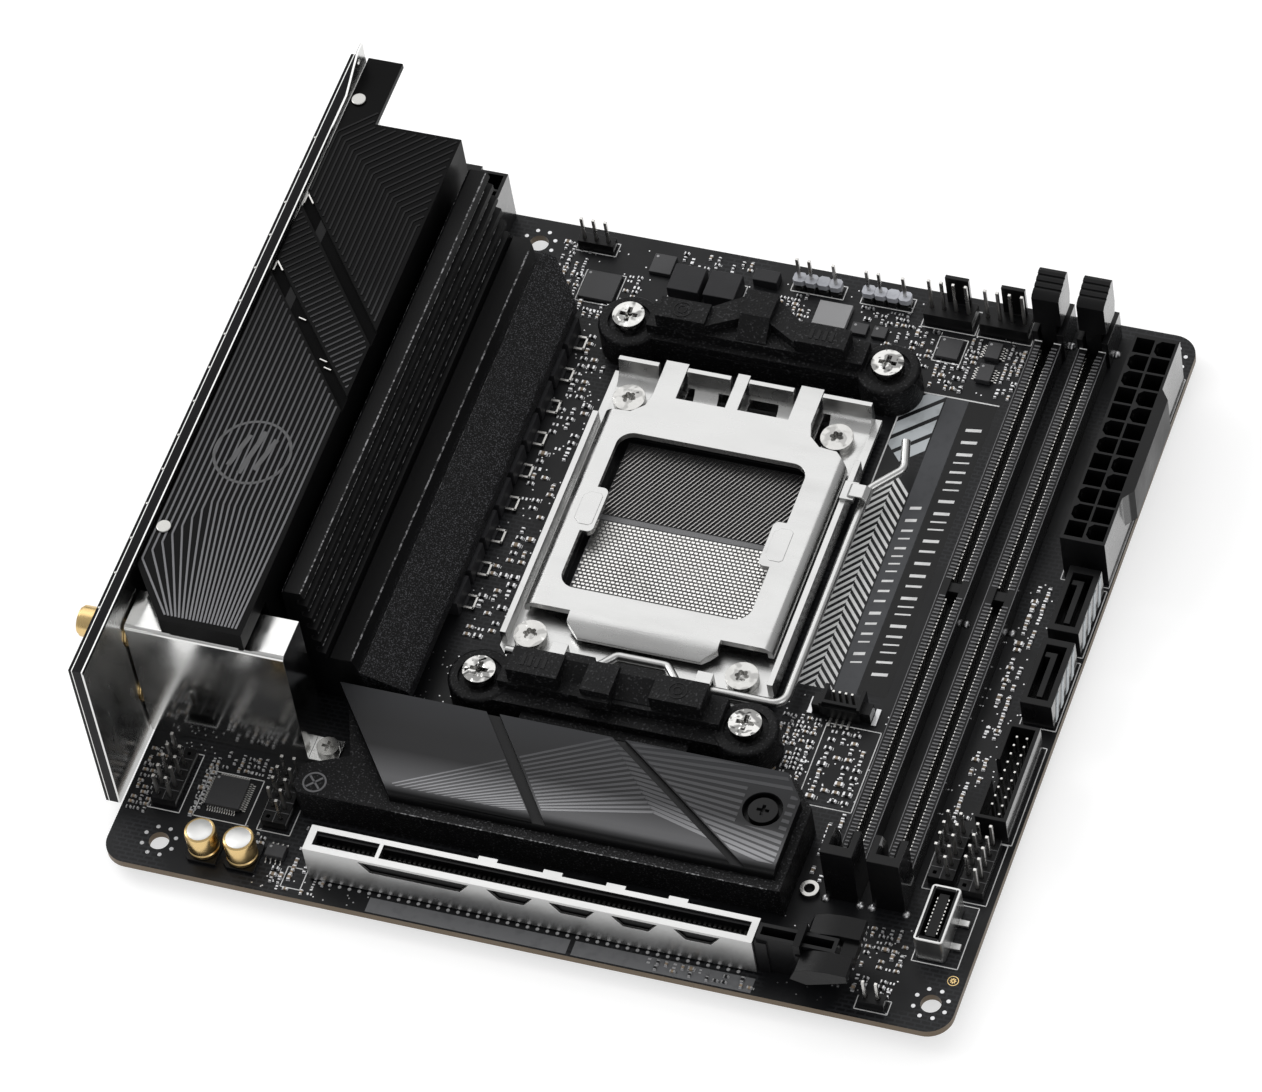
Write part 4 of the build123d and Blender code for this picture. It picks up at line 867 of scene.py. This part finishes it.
def tiny_parts():
    """Rows of chip resistors and capacitors with tinned ends on solder pads."""
    dark = Batch("chip_resistors", "resistor", "chip")
    tan = Batch("chip_capacitors", "ceramic", "chip")
    ends = Batch("chip_part_ends", "solder", "nickel")
    pads = Batch("solder_pads", "solder", "nickel")
    marks = Batch("silk_ticks", "ink", "grey_plastic")
    for (x0, x1), (y0, y1), step_x, step_y, share in CLUSTERS:
        turned = draw.random() < 0.5
        columns = max(1, round((x1 - x0) / step_x))
        rows = max(1, round((y1 - y0) / step_y))
        for column in range(columns):
            for row in range(rows):
                if draw.random() > share:
                    continue
                x = x0 + (column + 0.5) * (x1 - x0) / columns + draw.uniform(-0.08, 0.08)
                y = y0 + (row + 0.5) * (y1 - y0) / rows + draw.uniform(-0.05, 0.05)
                upright = turned != (draw.random() < 0.25)
                large = draw.random() < 0.15
                length = (0.62 if large else 0.48) * (1.25 if step_x > 1.8 else 1.0)
                half = length * 0.52
                height = 0.5 if large else 0.36
                body = tan if draw.random() < 0.42 else dark

                def place(batch, side, near, far, half_width, z):
                    along, across = beside(0, side, near, far), about(0, half_width)
                    a, b = (across, along) if upright else (along, across)
                    batch.box((x + a[0], x + a[1]), (y + b[0], y + b[1]), z)

                if draw.random() < 0.16:
                    for side in (-1, 1):
                        place(pads, side, length * 0.35, length, half, (0.0, 0.03))
                    continue
                place(body, 1, -length * 0.55, length * 0.55, half, (0.02, height))
                for side in (-1, 1):
                    place(ends, side, length * 0.5, length, half, (0.02, height + 0.01))
                    place(pads, side, length * 0.5, length * 1.25, half * 1.15, (0.0, 0.04))
                if draw.random() < 0.3:
                    reach = length * draw.uniform(1.5, 1.8)
                    place(marks, 1, reach, reach + 0.12, half, (0.0, 0.012))


tiny_parts()

# Printing, pads and vias on the board -----

INK = (0.0, 0.012)
HOLES = ((10.16, 6.35), (165.1, 6.35), (33.02, 163.83), (165.1, 163.83))

# Printed outlines round headers and chips: X range, then Y range.
OUTLINES = (
    ((14.3, 25.2), (13.6, 24.4)),
    ((5.0, 11.6), (13.4, 27.4)),
    ((27.6, 34.4), (13.4, 27.4)),
    ((126.5, 137.4), (44.2, 63.4)),
    ((162.0, 168.6), (29.8, 44.0)),
    ((155.6, 162.0), (31.0, 45.2)),
    ((162.0, 169.2), (44.2, 67.4)),
    ((158.6, 167.6), (14.8, 29.0)),
    ((151.4, 157.9), (1.9, 4.9)),
    ((86.6, 97.6), (163.6, 167.0)),
    ((101.2, 112.0), (163.6, 167.0)),
    ((114.8, 126.0), (160.8, 166.8)),
    ((126.4, 137.6), (160.8, 166.8)),
    ((40.8, 49.4), (163.9, 167.2)),
    ((119.4, 125.2), (153.0, 159.2)),
    ((36.7, 40.7), (2.0, 6.7)),
    ((62.9, 77.9), (155.2, 162.6)),
    ((44.9, 53.2), (151.5, 159.5)),
    ((160.0, 169.7), (106.8, 159.6)),
    ((162.4, 169.6), (71.6, 88.2)),
    ((162.4, 169.6), (89.5, 105.9)),
)


def outline_boxes(batch, width=0.2):
    """Four thin strokes round each printed outline."""
    for (x0, x1), (y0, y1) in OUTLINES:
        corners = ((x0, y0), (x1, y0), (x1, y1), (x0, y1))
        for start, end in zip(corners, corners[1:] + corners[:1]):
            batch.strip(start, end, width, INK)


def printing():
    """Silk-screened outlines, the striped panel and the plain bands beside the memory."""
    white = Batch("silk_white", "ink", "grey_plastic")
    outline_boxes(white)
    white.strip((117.2, 70.8), (117.2, 144.8), 0.3, INK)
    white.strip((117.2, 144.8), (136.0, 144.8), 0.3, INK)
    grey = Batch("silk_grey", "ink_grey", "grey_plastic")
    dark = Batch("silk_dark_grey", "ink_dark", "grey_plastic")
    black = Batch("silk_black", "ink_black", "black_plastic")
    plain = Batch("silk_plain_grey", "ink_mid", "grey_plastic")
    left, middle, right, near, far = 117.4, 121.3, 125, 71, 144.6
    stripes(white, [(left, near), (middle, near), (middle, 124), (left, 120)], 48, 1.25, 0.62, INK)
    stripes(white, [(middle, near), (right, near), (right, 120), (middle, 124)], -48, 1.25, 0.62, INK)
    wide_field = [(left, 122.6), (middle, 126.6), (right, 122.6), (right, far), (left, far)]
    stripes(grey, wide_field, 42, 3.4, 2.5, INK)
    dark.box((125.3, 129.8), (near, far), INK)
    black.box((130.0, 135.7), (71.6, far), (0.0, 0.016))
    plain.box((54.5, 94.9), (0.4, 3.7), INK)
    plain.box((95.9, 131.6), (0.4, 3.7), INK)
    dark.box((125.4, 129.7), (71.2, 72.0), (0.0, 0.014))


printing()

GOLD_MARK = (167.6, 12.2)
# Fields of scattered vias: X range, Y range, how many.
VIA_FIELDS = (
    ((2, 14), (28, 30), 14),
    ((38, 58), (46, 66), 60),
    ((116, 139), (44, 70), 70),
    ((104, 139), (146, 168), 90),
    ((40, 112), (150, 168), 60),
    ((154, 162), (44, 106), 60),
    ((132, 158), (2, 22), 50),
    ((30, 56), (0.6, 4), 20),
    ((49, 58), (66, 150), 80),
)


def pads_and_vias():
    """Grounding dots round the mounting holes, test points and scattered vias."""
    tin = Batch("tinned_dots", "solder", "nickel")
    gold = Batch("gold_fiducial", "gold", "gold")
    for x, y in HOLES:
        for a, b in circle(x, y, 3.3, 8, 0.5):
            tin.disc(a, b, (0.0, 0.05), 0.42, 12)
    x, y = GOLD_MARK
    gold.ring(x, y, (0.0, 0.03), 0.95, 1.1)
    for step in range(4):
        turn = math.pi / 4 * step
        dx, dy = 0.62 * math.cos(turn), 0.62 * math.sin(turn)
        gold.strip((x - dx, y - dy), (x + dx, y + dy), 0.22, (0.0, 0.03))
    for x in row_of(44.0, 2.0, EXPANSION_PINS):
        tin.disc(x, 4.4, (0.0, 0.18), 0.36, 10)
    for x, y, count in VIA_FIELDS:
        for _ in range(count):
            tin.disc(draw.uniform(*x), draw.uniform(*y), INK, 0.16, 8)


pads_and_vias()

# Terminal clips of the inductors under the heatsink's edge -----

FIRST_CHOKE = 74.3
CHOKE_PITCH = 8.3
CLIP_HEIGHT = (0.02, 0.75)


def choke_clips():
    """A bent strip round each inductor's end."""
    clips = Batch("choke_clips", "pin", "nickel", bevel=0.08)
    for y in row_of(FIRST_CHOKE, CHOKE_PITCH, 9):
        for side in (-1, 1):
            clips.box((48.9, 51.2), beside(y, side, 1.2, 1.75), CLIP_HEIGHT)
        clips.box((50.7, 51.2), about(y, 1.75), CLIP_HEIGHT)


choke_clips()

# Connector details -----

PIN_PITCH = 2.54
POWER_PITCH = 4.2


def lever_catch():
    """The sheet hook folded over the lever's arm, rounded at both bends."""
    hook = Batch("lever_catch_hook", "steel", "steel", bevel=0.12)
    outer = [(115.6, 6.0), (115.6, 6.9), (116.2, 7.5), (118.9, 7.5), (119.9, 6.7), (120.1, 5.4)]
    inner = [(119.6, 5.4), (119.4, 6.5), (118.7, 7.0), (116.4, 7.0), (116.1, 6.6), (116.1, 6.0)]
    hook.loft(*[[(x, y, z) for x, z in outer + inner] for y in (111.4, 114.6)])


lever_catch()


def led_blocks():
    """Addressable-light headers: four keyed blocks each, pale above a black base."""
    pale = Batch("led_header_blocks", "led", "grey_plastic", bevel=0.08, node="led_headers")
    base = Batch("led_header_bases", "black", "black_plastic", bevel=0.06)
    y, half, cut = 165.2, 1.25, 0.5
    for centre_x in (92.1, 106.6):
        for column in range(4):
            x = centre_x + (column - 1.5) * PIN_PITCH
            outline = cut_corners(about(x, half), about(y, half), cut, cut)
            base.prism(outline, (0.1, 1.5))
            pale.prism(outline, (1.5, 2.8))
            pale.disc(x, y, (2.8, 2.84), 0.5, 16)


led_blocks()

# The two-column pin headers: the middle of each base.
PIN_HEADERS = ((165.2, 37.0), (158.9, 38.5), (8.3, 20.4), (31.0, 20.4))
PIN_ROWS = 5
SEAM_HALF = 0.06
SEAM_HEIGHT = (2.44, 2.53)


def header_seams():
    """Thin seams that part the pin headers' bases into one block for each pin."""
    seams = Batch("header_seams", "tooth", "black_plastic")
    for x, y in PIN_HEADERS:
        for row in range(PIN_ROWS - 1):
            line = y + (row - (PIN_ROWS - 2) / 2) * PIN_PITCH
            seams.box(about(x, PIN_PITCH), about(line, SEAM_HALF), SEAM_HEIGHT)
        seams.box(about(x, SEAM_HALF), about(y, 6.3), SEAM_HEIGHT)


header_seams()


def storage_stripes():
    """Slanted raised ribs on the outer flanks of the two storage sockets, pale grey as a painted
    reflection on those flanks.
    """
    # Painted reflection: the pale grey of the flank ribs.
    ribs = Batch("storage_flank_ribs", "ink_grey", "grey_plastic", bevel=0.04)
    for low in (73.2, 91.1):
        for y in row_of(low, 3.4, 4):
            outline = ((y, 0.8), (y + 1.5, 0.8), (y + 3.3, 6.6), (y + 1.8, 6.6))
            ribs.loft(*[[(x, a, z) for a, z in outline] for x in (169.15, 169.32)])


storage_stripes()


def front_usb_c():
    """The dark tongue, floor and liner inside the front USB-C header, with its contacts."""
    dark = Batch("front_usb_tongue", "black", "black_plastic", bevel=0.1)
    pins = Batch("front_usb_contacts", "pin", "gold")
    liner = (1.6, 6.44)
    dark.box((161.1, 163.1), (17.0, 26.8), (1.0, 5.95))
    dark.box((160.05, 164.15), (16.4, 27.4), (1.0, 1.9))
    for x in ((159.65, 160.2), (164.0, 164.55)):
        dark.box(x, (15.85, 27.95), liner)
    for y in ((15.85, 16.5), (27.3, 27.95)):
        dark.box((160.2, 164.0), y, liner)
    for y in row_of(17.9, 0.85, 10):
        for x in ((160.9, 161.1), (163.1, 163.3)):
            pins.box(x, about(y, 0.2), (1.9, 5.98))


front_usb_c()


def wafer_pins():
    """Pins, solder feet and anchor pads of the small service connector."""
    metal = Batch("wafer_pins", "pin", "nickel", bevel=0.06)
    pads = Batch("wafer_pads", "solder", "nickel", bevel=0.08)
    for x in row_of(127.02, 1.25, 4):
        metal.box(about(x, 0.25), (67.17, 67.67), (0.9, 5.05))
        metal.box(about(x, 0.26), (62.4, 64.4), (0.01, 0.44))
    for x in ((121.9, 122.95), (134.85, 135.9)):
        pads.box(x, (64.6, 68.6), (0.0, 0.3))


wafer_pins()


def underside_solder():
    """Domed joints where through-hole pins come out below the board."""
    joints = Batch("solder_joints", "solder", "nickel")
    spots = grid(row_of(162.98, POWER_PITCH, 2), row_of(110.1, POWER_PITCH, 12))
    spots += grid(row_of(11.0, POWER_PITCH, 4), row_of(162.9, POWER_PITCH, 2))
    power_pins = len(spots)
    for x, y in PIN_HEADERS[:3]:
        first_x, first_y = x - PIN_PITCH / 2, y - (PIN_ROWS - 1) / 2 * PIN_PITCH
        spots += grid(row_of(first_x, PIN_PITCH, 2), row_of(first_y, PIN_PITCH, PIN_ROWS))
    for index, x in enumerate(row_of(44.6, 2.0, EXPANSION_PINS)):
        spots.append((x, 6.4 + 2.6 * (index % 2)))
    for slot_x in MEMORY_X:
        for index, y in enumerate(row_of(31.0, 1.8, 70)):
            spots.append((slot_x + (1.5 if index % 2 else -1.5), y))
    for index, (x, y) in enumerate(spots):
        wide = 1.15 if index < power_pins else 0.6
        profile = [(wide * 0.3, -2.5), (wide * 0.55, -2.1), (wide, -1.62), (wide, -1.6)]
        joints.turned(x, y, profile, 12)


underside_solder()

# Plain moulded and printed marks -----

COVER_TOP = 39.0
BASE_TOP = (7.9, 8.0)


def moulded_marks():
    """Plain raised rings and bars on the brackets and on the storage heatsink's base."""
    rings = Batch("bracket_rings", "black", "black_plastic")
    disc = Batch("base_mark", "tooth", "grey_metal")
    bars = Batch("bracket_bars", "black", "black_plastic")
    for x, y, z, radius in ((100.6, 55.0, 13.0, 1.9), (71.6, 144.5, 12.6, 1.9)):
        rings.ring(x, y, (z, z + 0.12), radius - 0.22, radius)
        rings.ring(x, y, (z, z + 0.12), radius * 0.5 - 0.15, radius * 0.5)
    for x, y, z in ((71.6, 55.0, 13.0), (100.8, 144.5, 12.6)):
        for left in row_of(x - 2.6, 1.4, 4):
            bars.box((left, left + 0.7), about(y, 1.2), (z, z + 0.12))
    disc.ring(37.9, 21.4, BASE_TOP, 2.0, 2.35)
    disc.strip((36.6, 20.1), (39.2, 22.7), 0.4, BASE_TOP)
    disc.strip((36.6, 22.7), (39.2, 20.1), 0.4, BASE_TOP)


moulded_marks()


def plain_badge():
    """A plain ring with three slanting bars on the port cover, and bars on the board."""
    badge = Batch("cover_badge", "badge", "black_metal", bevel=0.06)
    board_bars = Batch("board_bars", "ink", "grey_plastic")
    x, y = 11.6, 72.0
    height = (COVER_TOP, COVER_TOP + 0.16)
    badge.ring(x, y, height, 7.2, 7.8, 48)
    for step, reach in ((-1, 4.0), (0, 5.4), (1, 4.0)):
        cx = x + 2.7 * step
        badge.strip((cx - 0.9, y - reach), (cx + 0.9, y + reach), 1.1, height)
    for low, high, x0, x1 in ((78.0, 118.0, 126.4, 128.6), (76.0, 140.0, 131.3, 134.4)):
        position = low
        while position < high:
            length = draw.choice((1.2, 1.8, 2.4))
            corners = ((x0, 0.0), (x1, 0.5), (x1, 0.5 + length * 0.3), (x0, length * 0.3))
            board_bars.prism([(x, position + rise) for x, rise in corners], (0.012, 0.024))
            position += length + 0.7


plain_badge()

# The cover's two slanting recesses: the Y, at X = 0, of their far and near edges, and how
# far both fall for each millimetre of X.
RECESSES = ((135.7, 132.1, 1.2), (118.2, 114.7, 1.168))
COVER_SPAN = (-0.6, 24.7)


def accents():
    """Painted light in the cover's two recesses: black liners as painted shade, bright slivers as
    painted highlights and paler facets as painted glints.
    """
    shade_liners = Batch("recess_shade_liners", "recess", "black_metal")
    highlight_slivers = Batch("cover_highlight_slivers", "pin", "nickel")
    glint_facets = Batch("cover_glint_facets", "latch", "black_metal")
    depth = (38.42, 38.9)
    for far, near, fall in RECESSES:
        start, end = COVER_SPAN
        # Liners are painted shade on the recess floors; facets are painted glints on them.
        layers = ((shade_liners, start, end, (38.38, 38.42)), (glint_facets, 4.2, 6.2, (38.42, 38.46)))
        for batch, x0, x1, height in layers:
            batch.prism(slanting(x0, x1, (near + 0.15, fall), (far - 0.15, fall)), height)
        top = far - fall * start - 0.5
        # Slivers are painted highlights at each recess's left end.
        highlight_slivers.strip((start + 0.2, top), (start + 2.0, top - 1.8 * fall), 0.3, depth)
        highlight_slivers.strip((start + 0.15, top), (start + 0.15, top - 2.4), 0.3, depth)
    far, near, fall = RECESSES[1]
    # Three short painted glints in the near recess.
    for x in (9.6, 17.2, 18.7):
        y = (far + near) / 2 - fall * x
        highlight_slivers.strip((x - 0.9, y + 0.6), (x + 0.7, y + 0.2), 0.24, depth)


accents()


def edge_highlight_flecks():
    """Strips of bright flecks along the heatsink's ridges and along the storage heatsink's ledge:
    painted edge highlights.
    """
    flecks = Batch("edge_highlight_flecks", "fleck", "black_metal")
    flecks.box((26.08, 26.3), (46.2, 153.4), (32.3, 32.52))
    flecks.box((29.75, 30.02), (46.2, 153.4), (32.9, 33.03))
    for index in range(5):
        edge = 30.5 + 0.38 * index
        high = 31.6 - 3.6 * index
        flecks.box((edge - 0.12, edge + 0.02), (46.2, 150.0), (high - 0.16, high + 0.02))
    flecks.box((37.1, 37.42), (46.2, 150.8), (13.9, 14.03))
    flecks.box((38.45, 38.62), (46.2, 150.0), (10.7, 10.84))
    flecks.box((54.6, 129.8), (18.48, 18.62), (7.72, 7.92))


edge_highlight_flecks()


def flange_dimples():
    """Pressed dimples along the top flange of the port shield."""
    dimples = Batch("flange_dimples", "nickel", "steel")
    for y in row_of(29.2, 8.55, 15):
        dimples.disc(-3.55, y, (40.15, 40.27), 0.26, 12)


flange_dimples()


def plate_tabs():
    """Pressed pads on the load plate's two window tabs."""
    pads = Batch("plate_tab_pads", "steel", "steel", body="socket_load_plate", bevel=0.09)
    for x0, x1 in ((65.4, 69.3), (104.7, 108.5)):
        pads.prism(cut_corners((x0, x1), (93.0, 101.0), 1.2, 0.6), (6.9, 7.1))


plate_tabs()

# Raised line patterns -----

COVER_LINES = (COVER_TOP, COVER_TOP + 0.14)
LINE = 0.42
COVER_END = 155.0
EAR_EDGE = 6.2
RIB_EDGE = 24.2


def cover_lines():
    """Fine ribs on the port cover: straight, turned at the far end and fanned at the near."""
    ribs = Batch("cover_ribs", "rib", "black_metal", bevel=0.05)
    (far, low, fall), (high, near, near_fall) = RECESSES
    for index in range(21):
        x = -0.2 + 1.19 * index
        start = far - fall * x + 0.7
        bend = max(152.1 - 0.824 * x, start + 0.5)
        ribs.strip((x, start), (x, bend), LINE, COVER_LINES)
        on_ear = x + COVER_END - bend < 6.0
        run = EAR_EDGE - x if on_ear else min(RIB_EDGE - x, COVER_END - bend)
        if run > 0.4:
            ribs.strip((x, bend), (x + run, bend + run), LINE, COVER_LINES)
        # Below the near recess each rib runs straight, then leans in towards the foot.
        fan = 43.0 + 16.0 * min(1.0, index / 7)
        foot = 8.9 + 0.72 * index
        ribs.strip((x, fan), (x, near - near_fall * x - 0.7), LINE, COVER_LINES)
        ribs.strip((foot, 31.3), (x, fan), LINE, COVER_LINES)
    region = slanting(-0.4, RIB_EDGE, (high + 0.8, near_fall), (low - 0.8, fall))
    stripes(ribs, region, 45, 1.4, LINE, COVER_LINES)


cover_lines()

M2_TOP = 10.5


def plate_lines():
    """Chevron lines on the storage heatsink's cover that spread from its near left corner."""
    lines = Batch("plate_lines", "plate_line", "grey_metal")
    height = (M2_TOP, M2_TOP + 0.03)
    # The plate's three fields between its slanting grooves, and the fields round the screw.
    fields = (
        [(53.9, 22.6), (81.1, 22.6), (68.4, 39.4), (64.6, 43.0), (35.9, 43.0)],
        [(84.4, 22.6), (119.9, 22.6), (91.4, 43.0), (69.0, 43.0)],
        [(123.1, 22.6), (130.0, 22.6), (130.0, 29.9), (112.9, 29.9)],
        [(112.9, 29.9), (119.9, 29.9), (119.9, 38.7), (100.6, 38.7)],
        [(128.5, 29.9), (130.0, 29.9), (130.0, 38.0), (128.5, 38.7)],
        [(94.6, 43.0), (100.6, 38.7), (129.2, 38.7), (126.1, 43.0)],
    )
    count = 16
    for index in range(count):
        share = index / (count - 1)
        left = blend((76.0, 22.4), (52.0, 22.2), share)
        peak = blend((104.3, 28.6), (91.0, 43.0), share)
        right = (131.0, 22.0 + 18.0 * share + 9.0 * share * share)
        for outline in (tapered(left, peak, 0.25, 0.62), tapered(peak, right, 0.62, 0.8)):
            for field in fields:
                piece = clip_to(outline, field)
                if piece and area(piece) > 0.02:
                    lines.prism(piece, height)


plate_lines()

for batch in BATCHES:
    batch.finish()

# Setting -----

FLOOR_DROP = 0.0001
low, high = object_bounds()
centre = (low + high) / 2


def floor():
    """A wide pale ground just under the board."""
    mesh = bpy.data.meshes.new("floor")
    half = 3.0
    z = low.z - FLOOR_DROP
    corners = ((-half, -half, z), (half, -half, z), (half, half, z), (-half, half, z))
    mesh.from_pydata(corners, [], [(0, 1, 2, 3)])
    made = Surface("studio_floor", (0.5, 0.5, 0.5), 0.8)
    fill(made.shader, {"Emission Color": (1, 1, 1, 1), "Emission Strength": 0.62})
    mesh.materials.append(made.material)
    add_object("floor", mesh)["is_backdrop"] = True


floor()


def area_light(name, direction, distance, size, power):
    """A square soft light that looks at the middle of the board."""
    data = bpy.data.lights.new(name, "AREA")
    data.shape = "RECTANGLE"
    data.size, data.size_y = size
    data.energy = power
    light = add_object(name, data)
    toward = Vector(direction).normalized()
    light.location = centre + toward * distance
    light.rotation_mode = "QUATERNION"
    light.rotation_quaternion = toward.to_track_quat("Z", "Y")


area_light("overhead", (-0.3, 0.6, 0.8), 1.1, (1.2, 1.2), 4.4)
area_light("key", (-1.0, 0.25, 0.75), 0.9, (0.5, 0.5), 3.2)
area_light("fill", (1.0, -0.6, 0.7), 1.1, (0.5, 0.5), 1.2)
area_light("front", (0.1, -1.0, 0.3), 1.1, (0.8, 0.25), 1.0)


def studio_sky():
    """A grey room, brighter overhead."""
    world = bpy.data.worlds.new("studio")
    world.use_nodes = True
    sky = Shading(world.node_tree)
    height = sky.axis(sky.node("ShaderNodeTexCoord").outputs["Generated"], "Z")
    background = sky.tree.nodes["Background"]
    fill(background, {"Color": (1, 1, 1, 1)})
    sky.link(sky.ramp(height, -0.1, 0.9, 0.3, 0.55), background.inputs["Strength"])
    return world


bpy.context.scene.world = studio_sky()
bpy.context.scene.view_settings.view_transform = "Standard"

# The camera stands in front and to the right, well above the board, with a slight roll.
CAMERA_AZIMUTH = math.radians(27.42)
CAMERA_ELEVATION = math.radians(51.64)
CAMERA_ROLL = math.radians(11.06)
CAMERA_DISTANCE = 1.5057
CAMERA_TARGET = at(76.0, 95.0)
LENS = 220.4


def make_camera():
    """A long lens from the picture's angle."""
    data = bpy.data.cameras.new("camera")
    data.lens = LENS
    data.sensor_width = 36.0
    data.clip_start, data.clip_end = 0.05, 20
    flat, rise = math.cos(CAMERA_ELEVATION), math.sin(CAMERA_ELEVATION)
    back = Vector((math.sin(CAMERA_AZIMUTH) * flat, -math.cos(CAMERA_AZIMUTH) * flat, rise))
    right = Vector((0, 0, 1)).cross(back).normalized()
    over = back.cross(right)
    level = right * math.cos(CAMERA_ROLL) - over * math.sin(CAMERA_ROLL)
    above = back.cross(level)
    camera = add_object("camera", data)
    turn = Matrix((level, above, back)).transposed()
    camera.matrix_world = Matrix.Translation(CAMERA_TARGET + back * CAMERA_DISTANCE) @ turn.to_4x4()
    bpy.context.scene.camera = camera


make_camera()
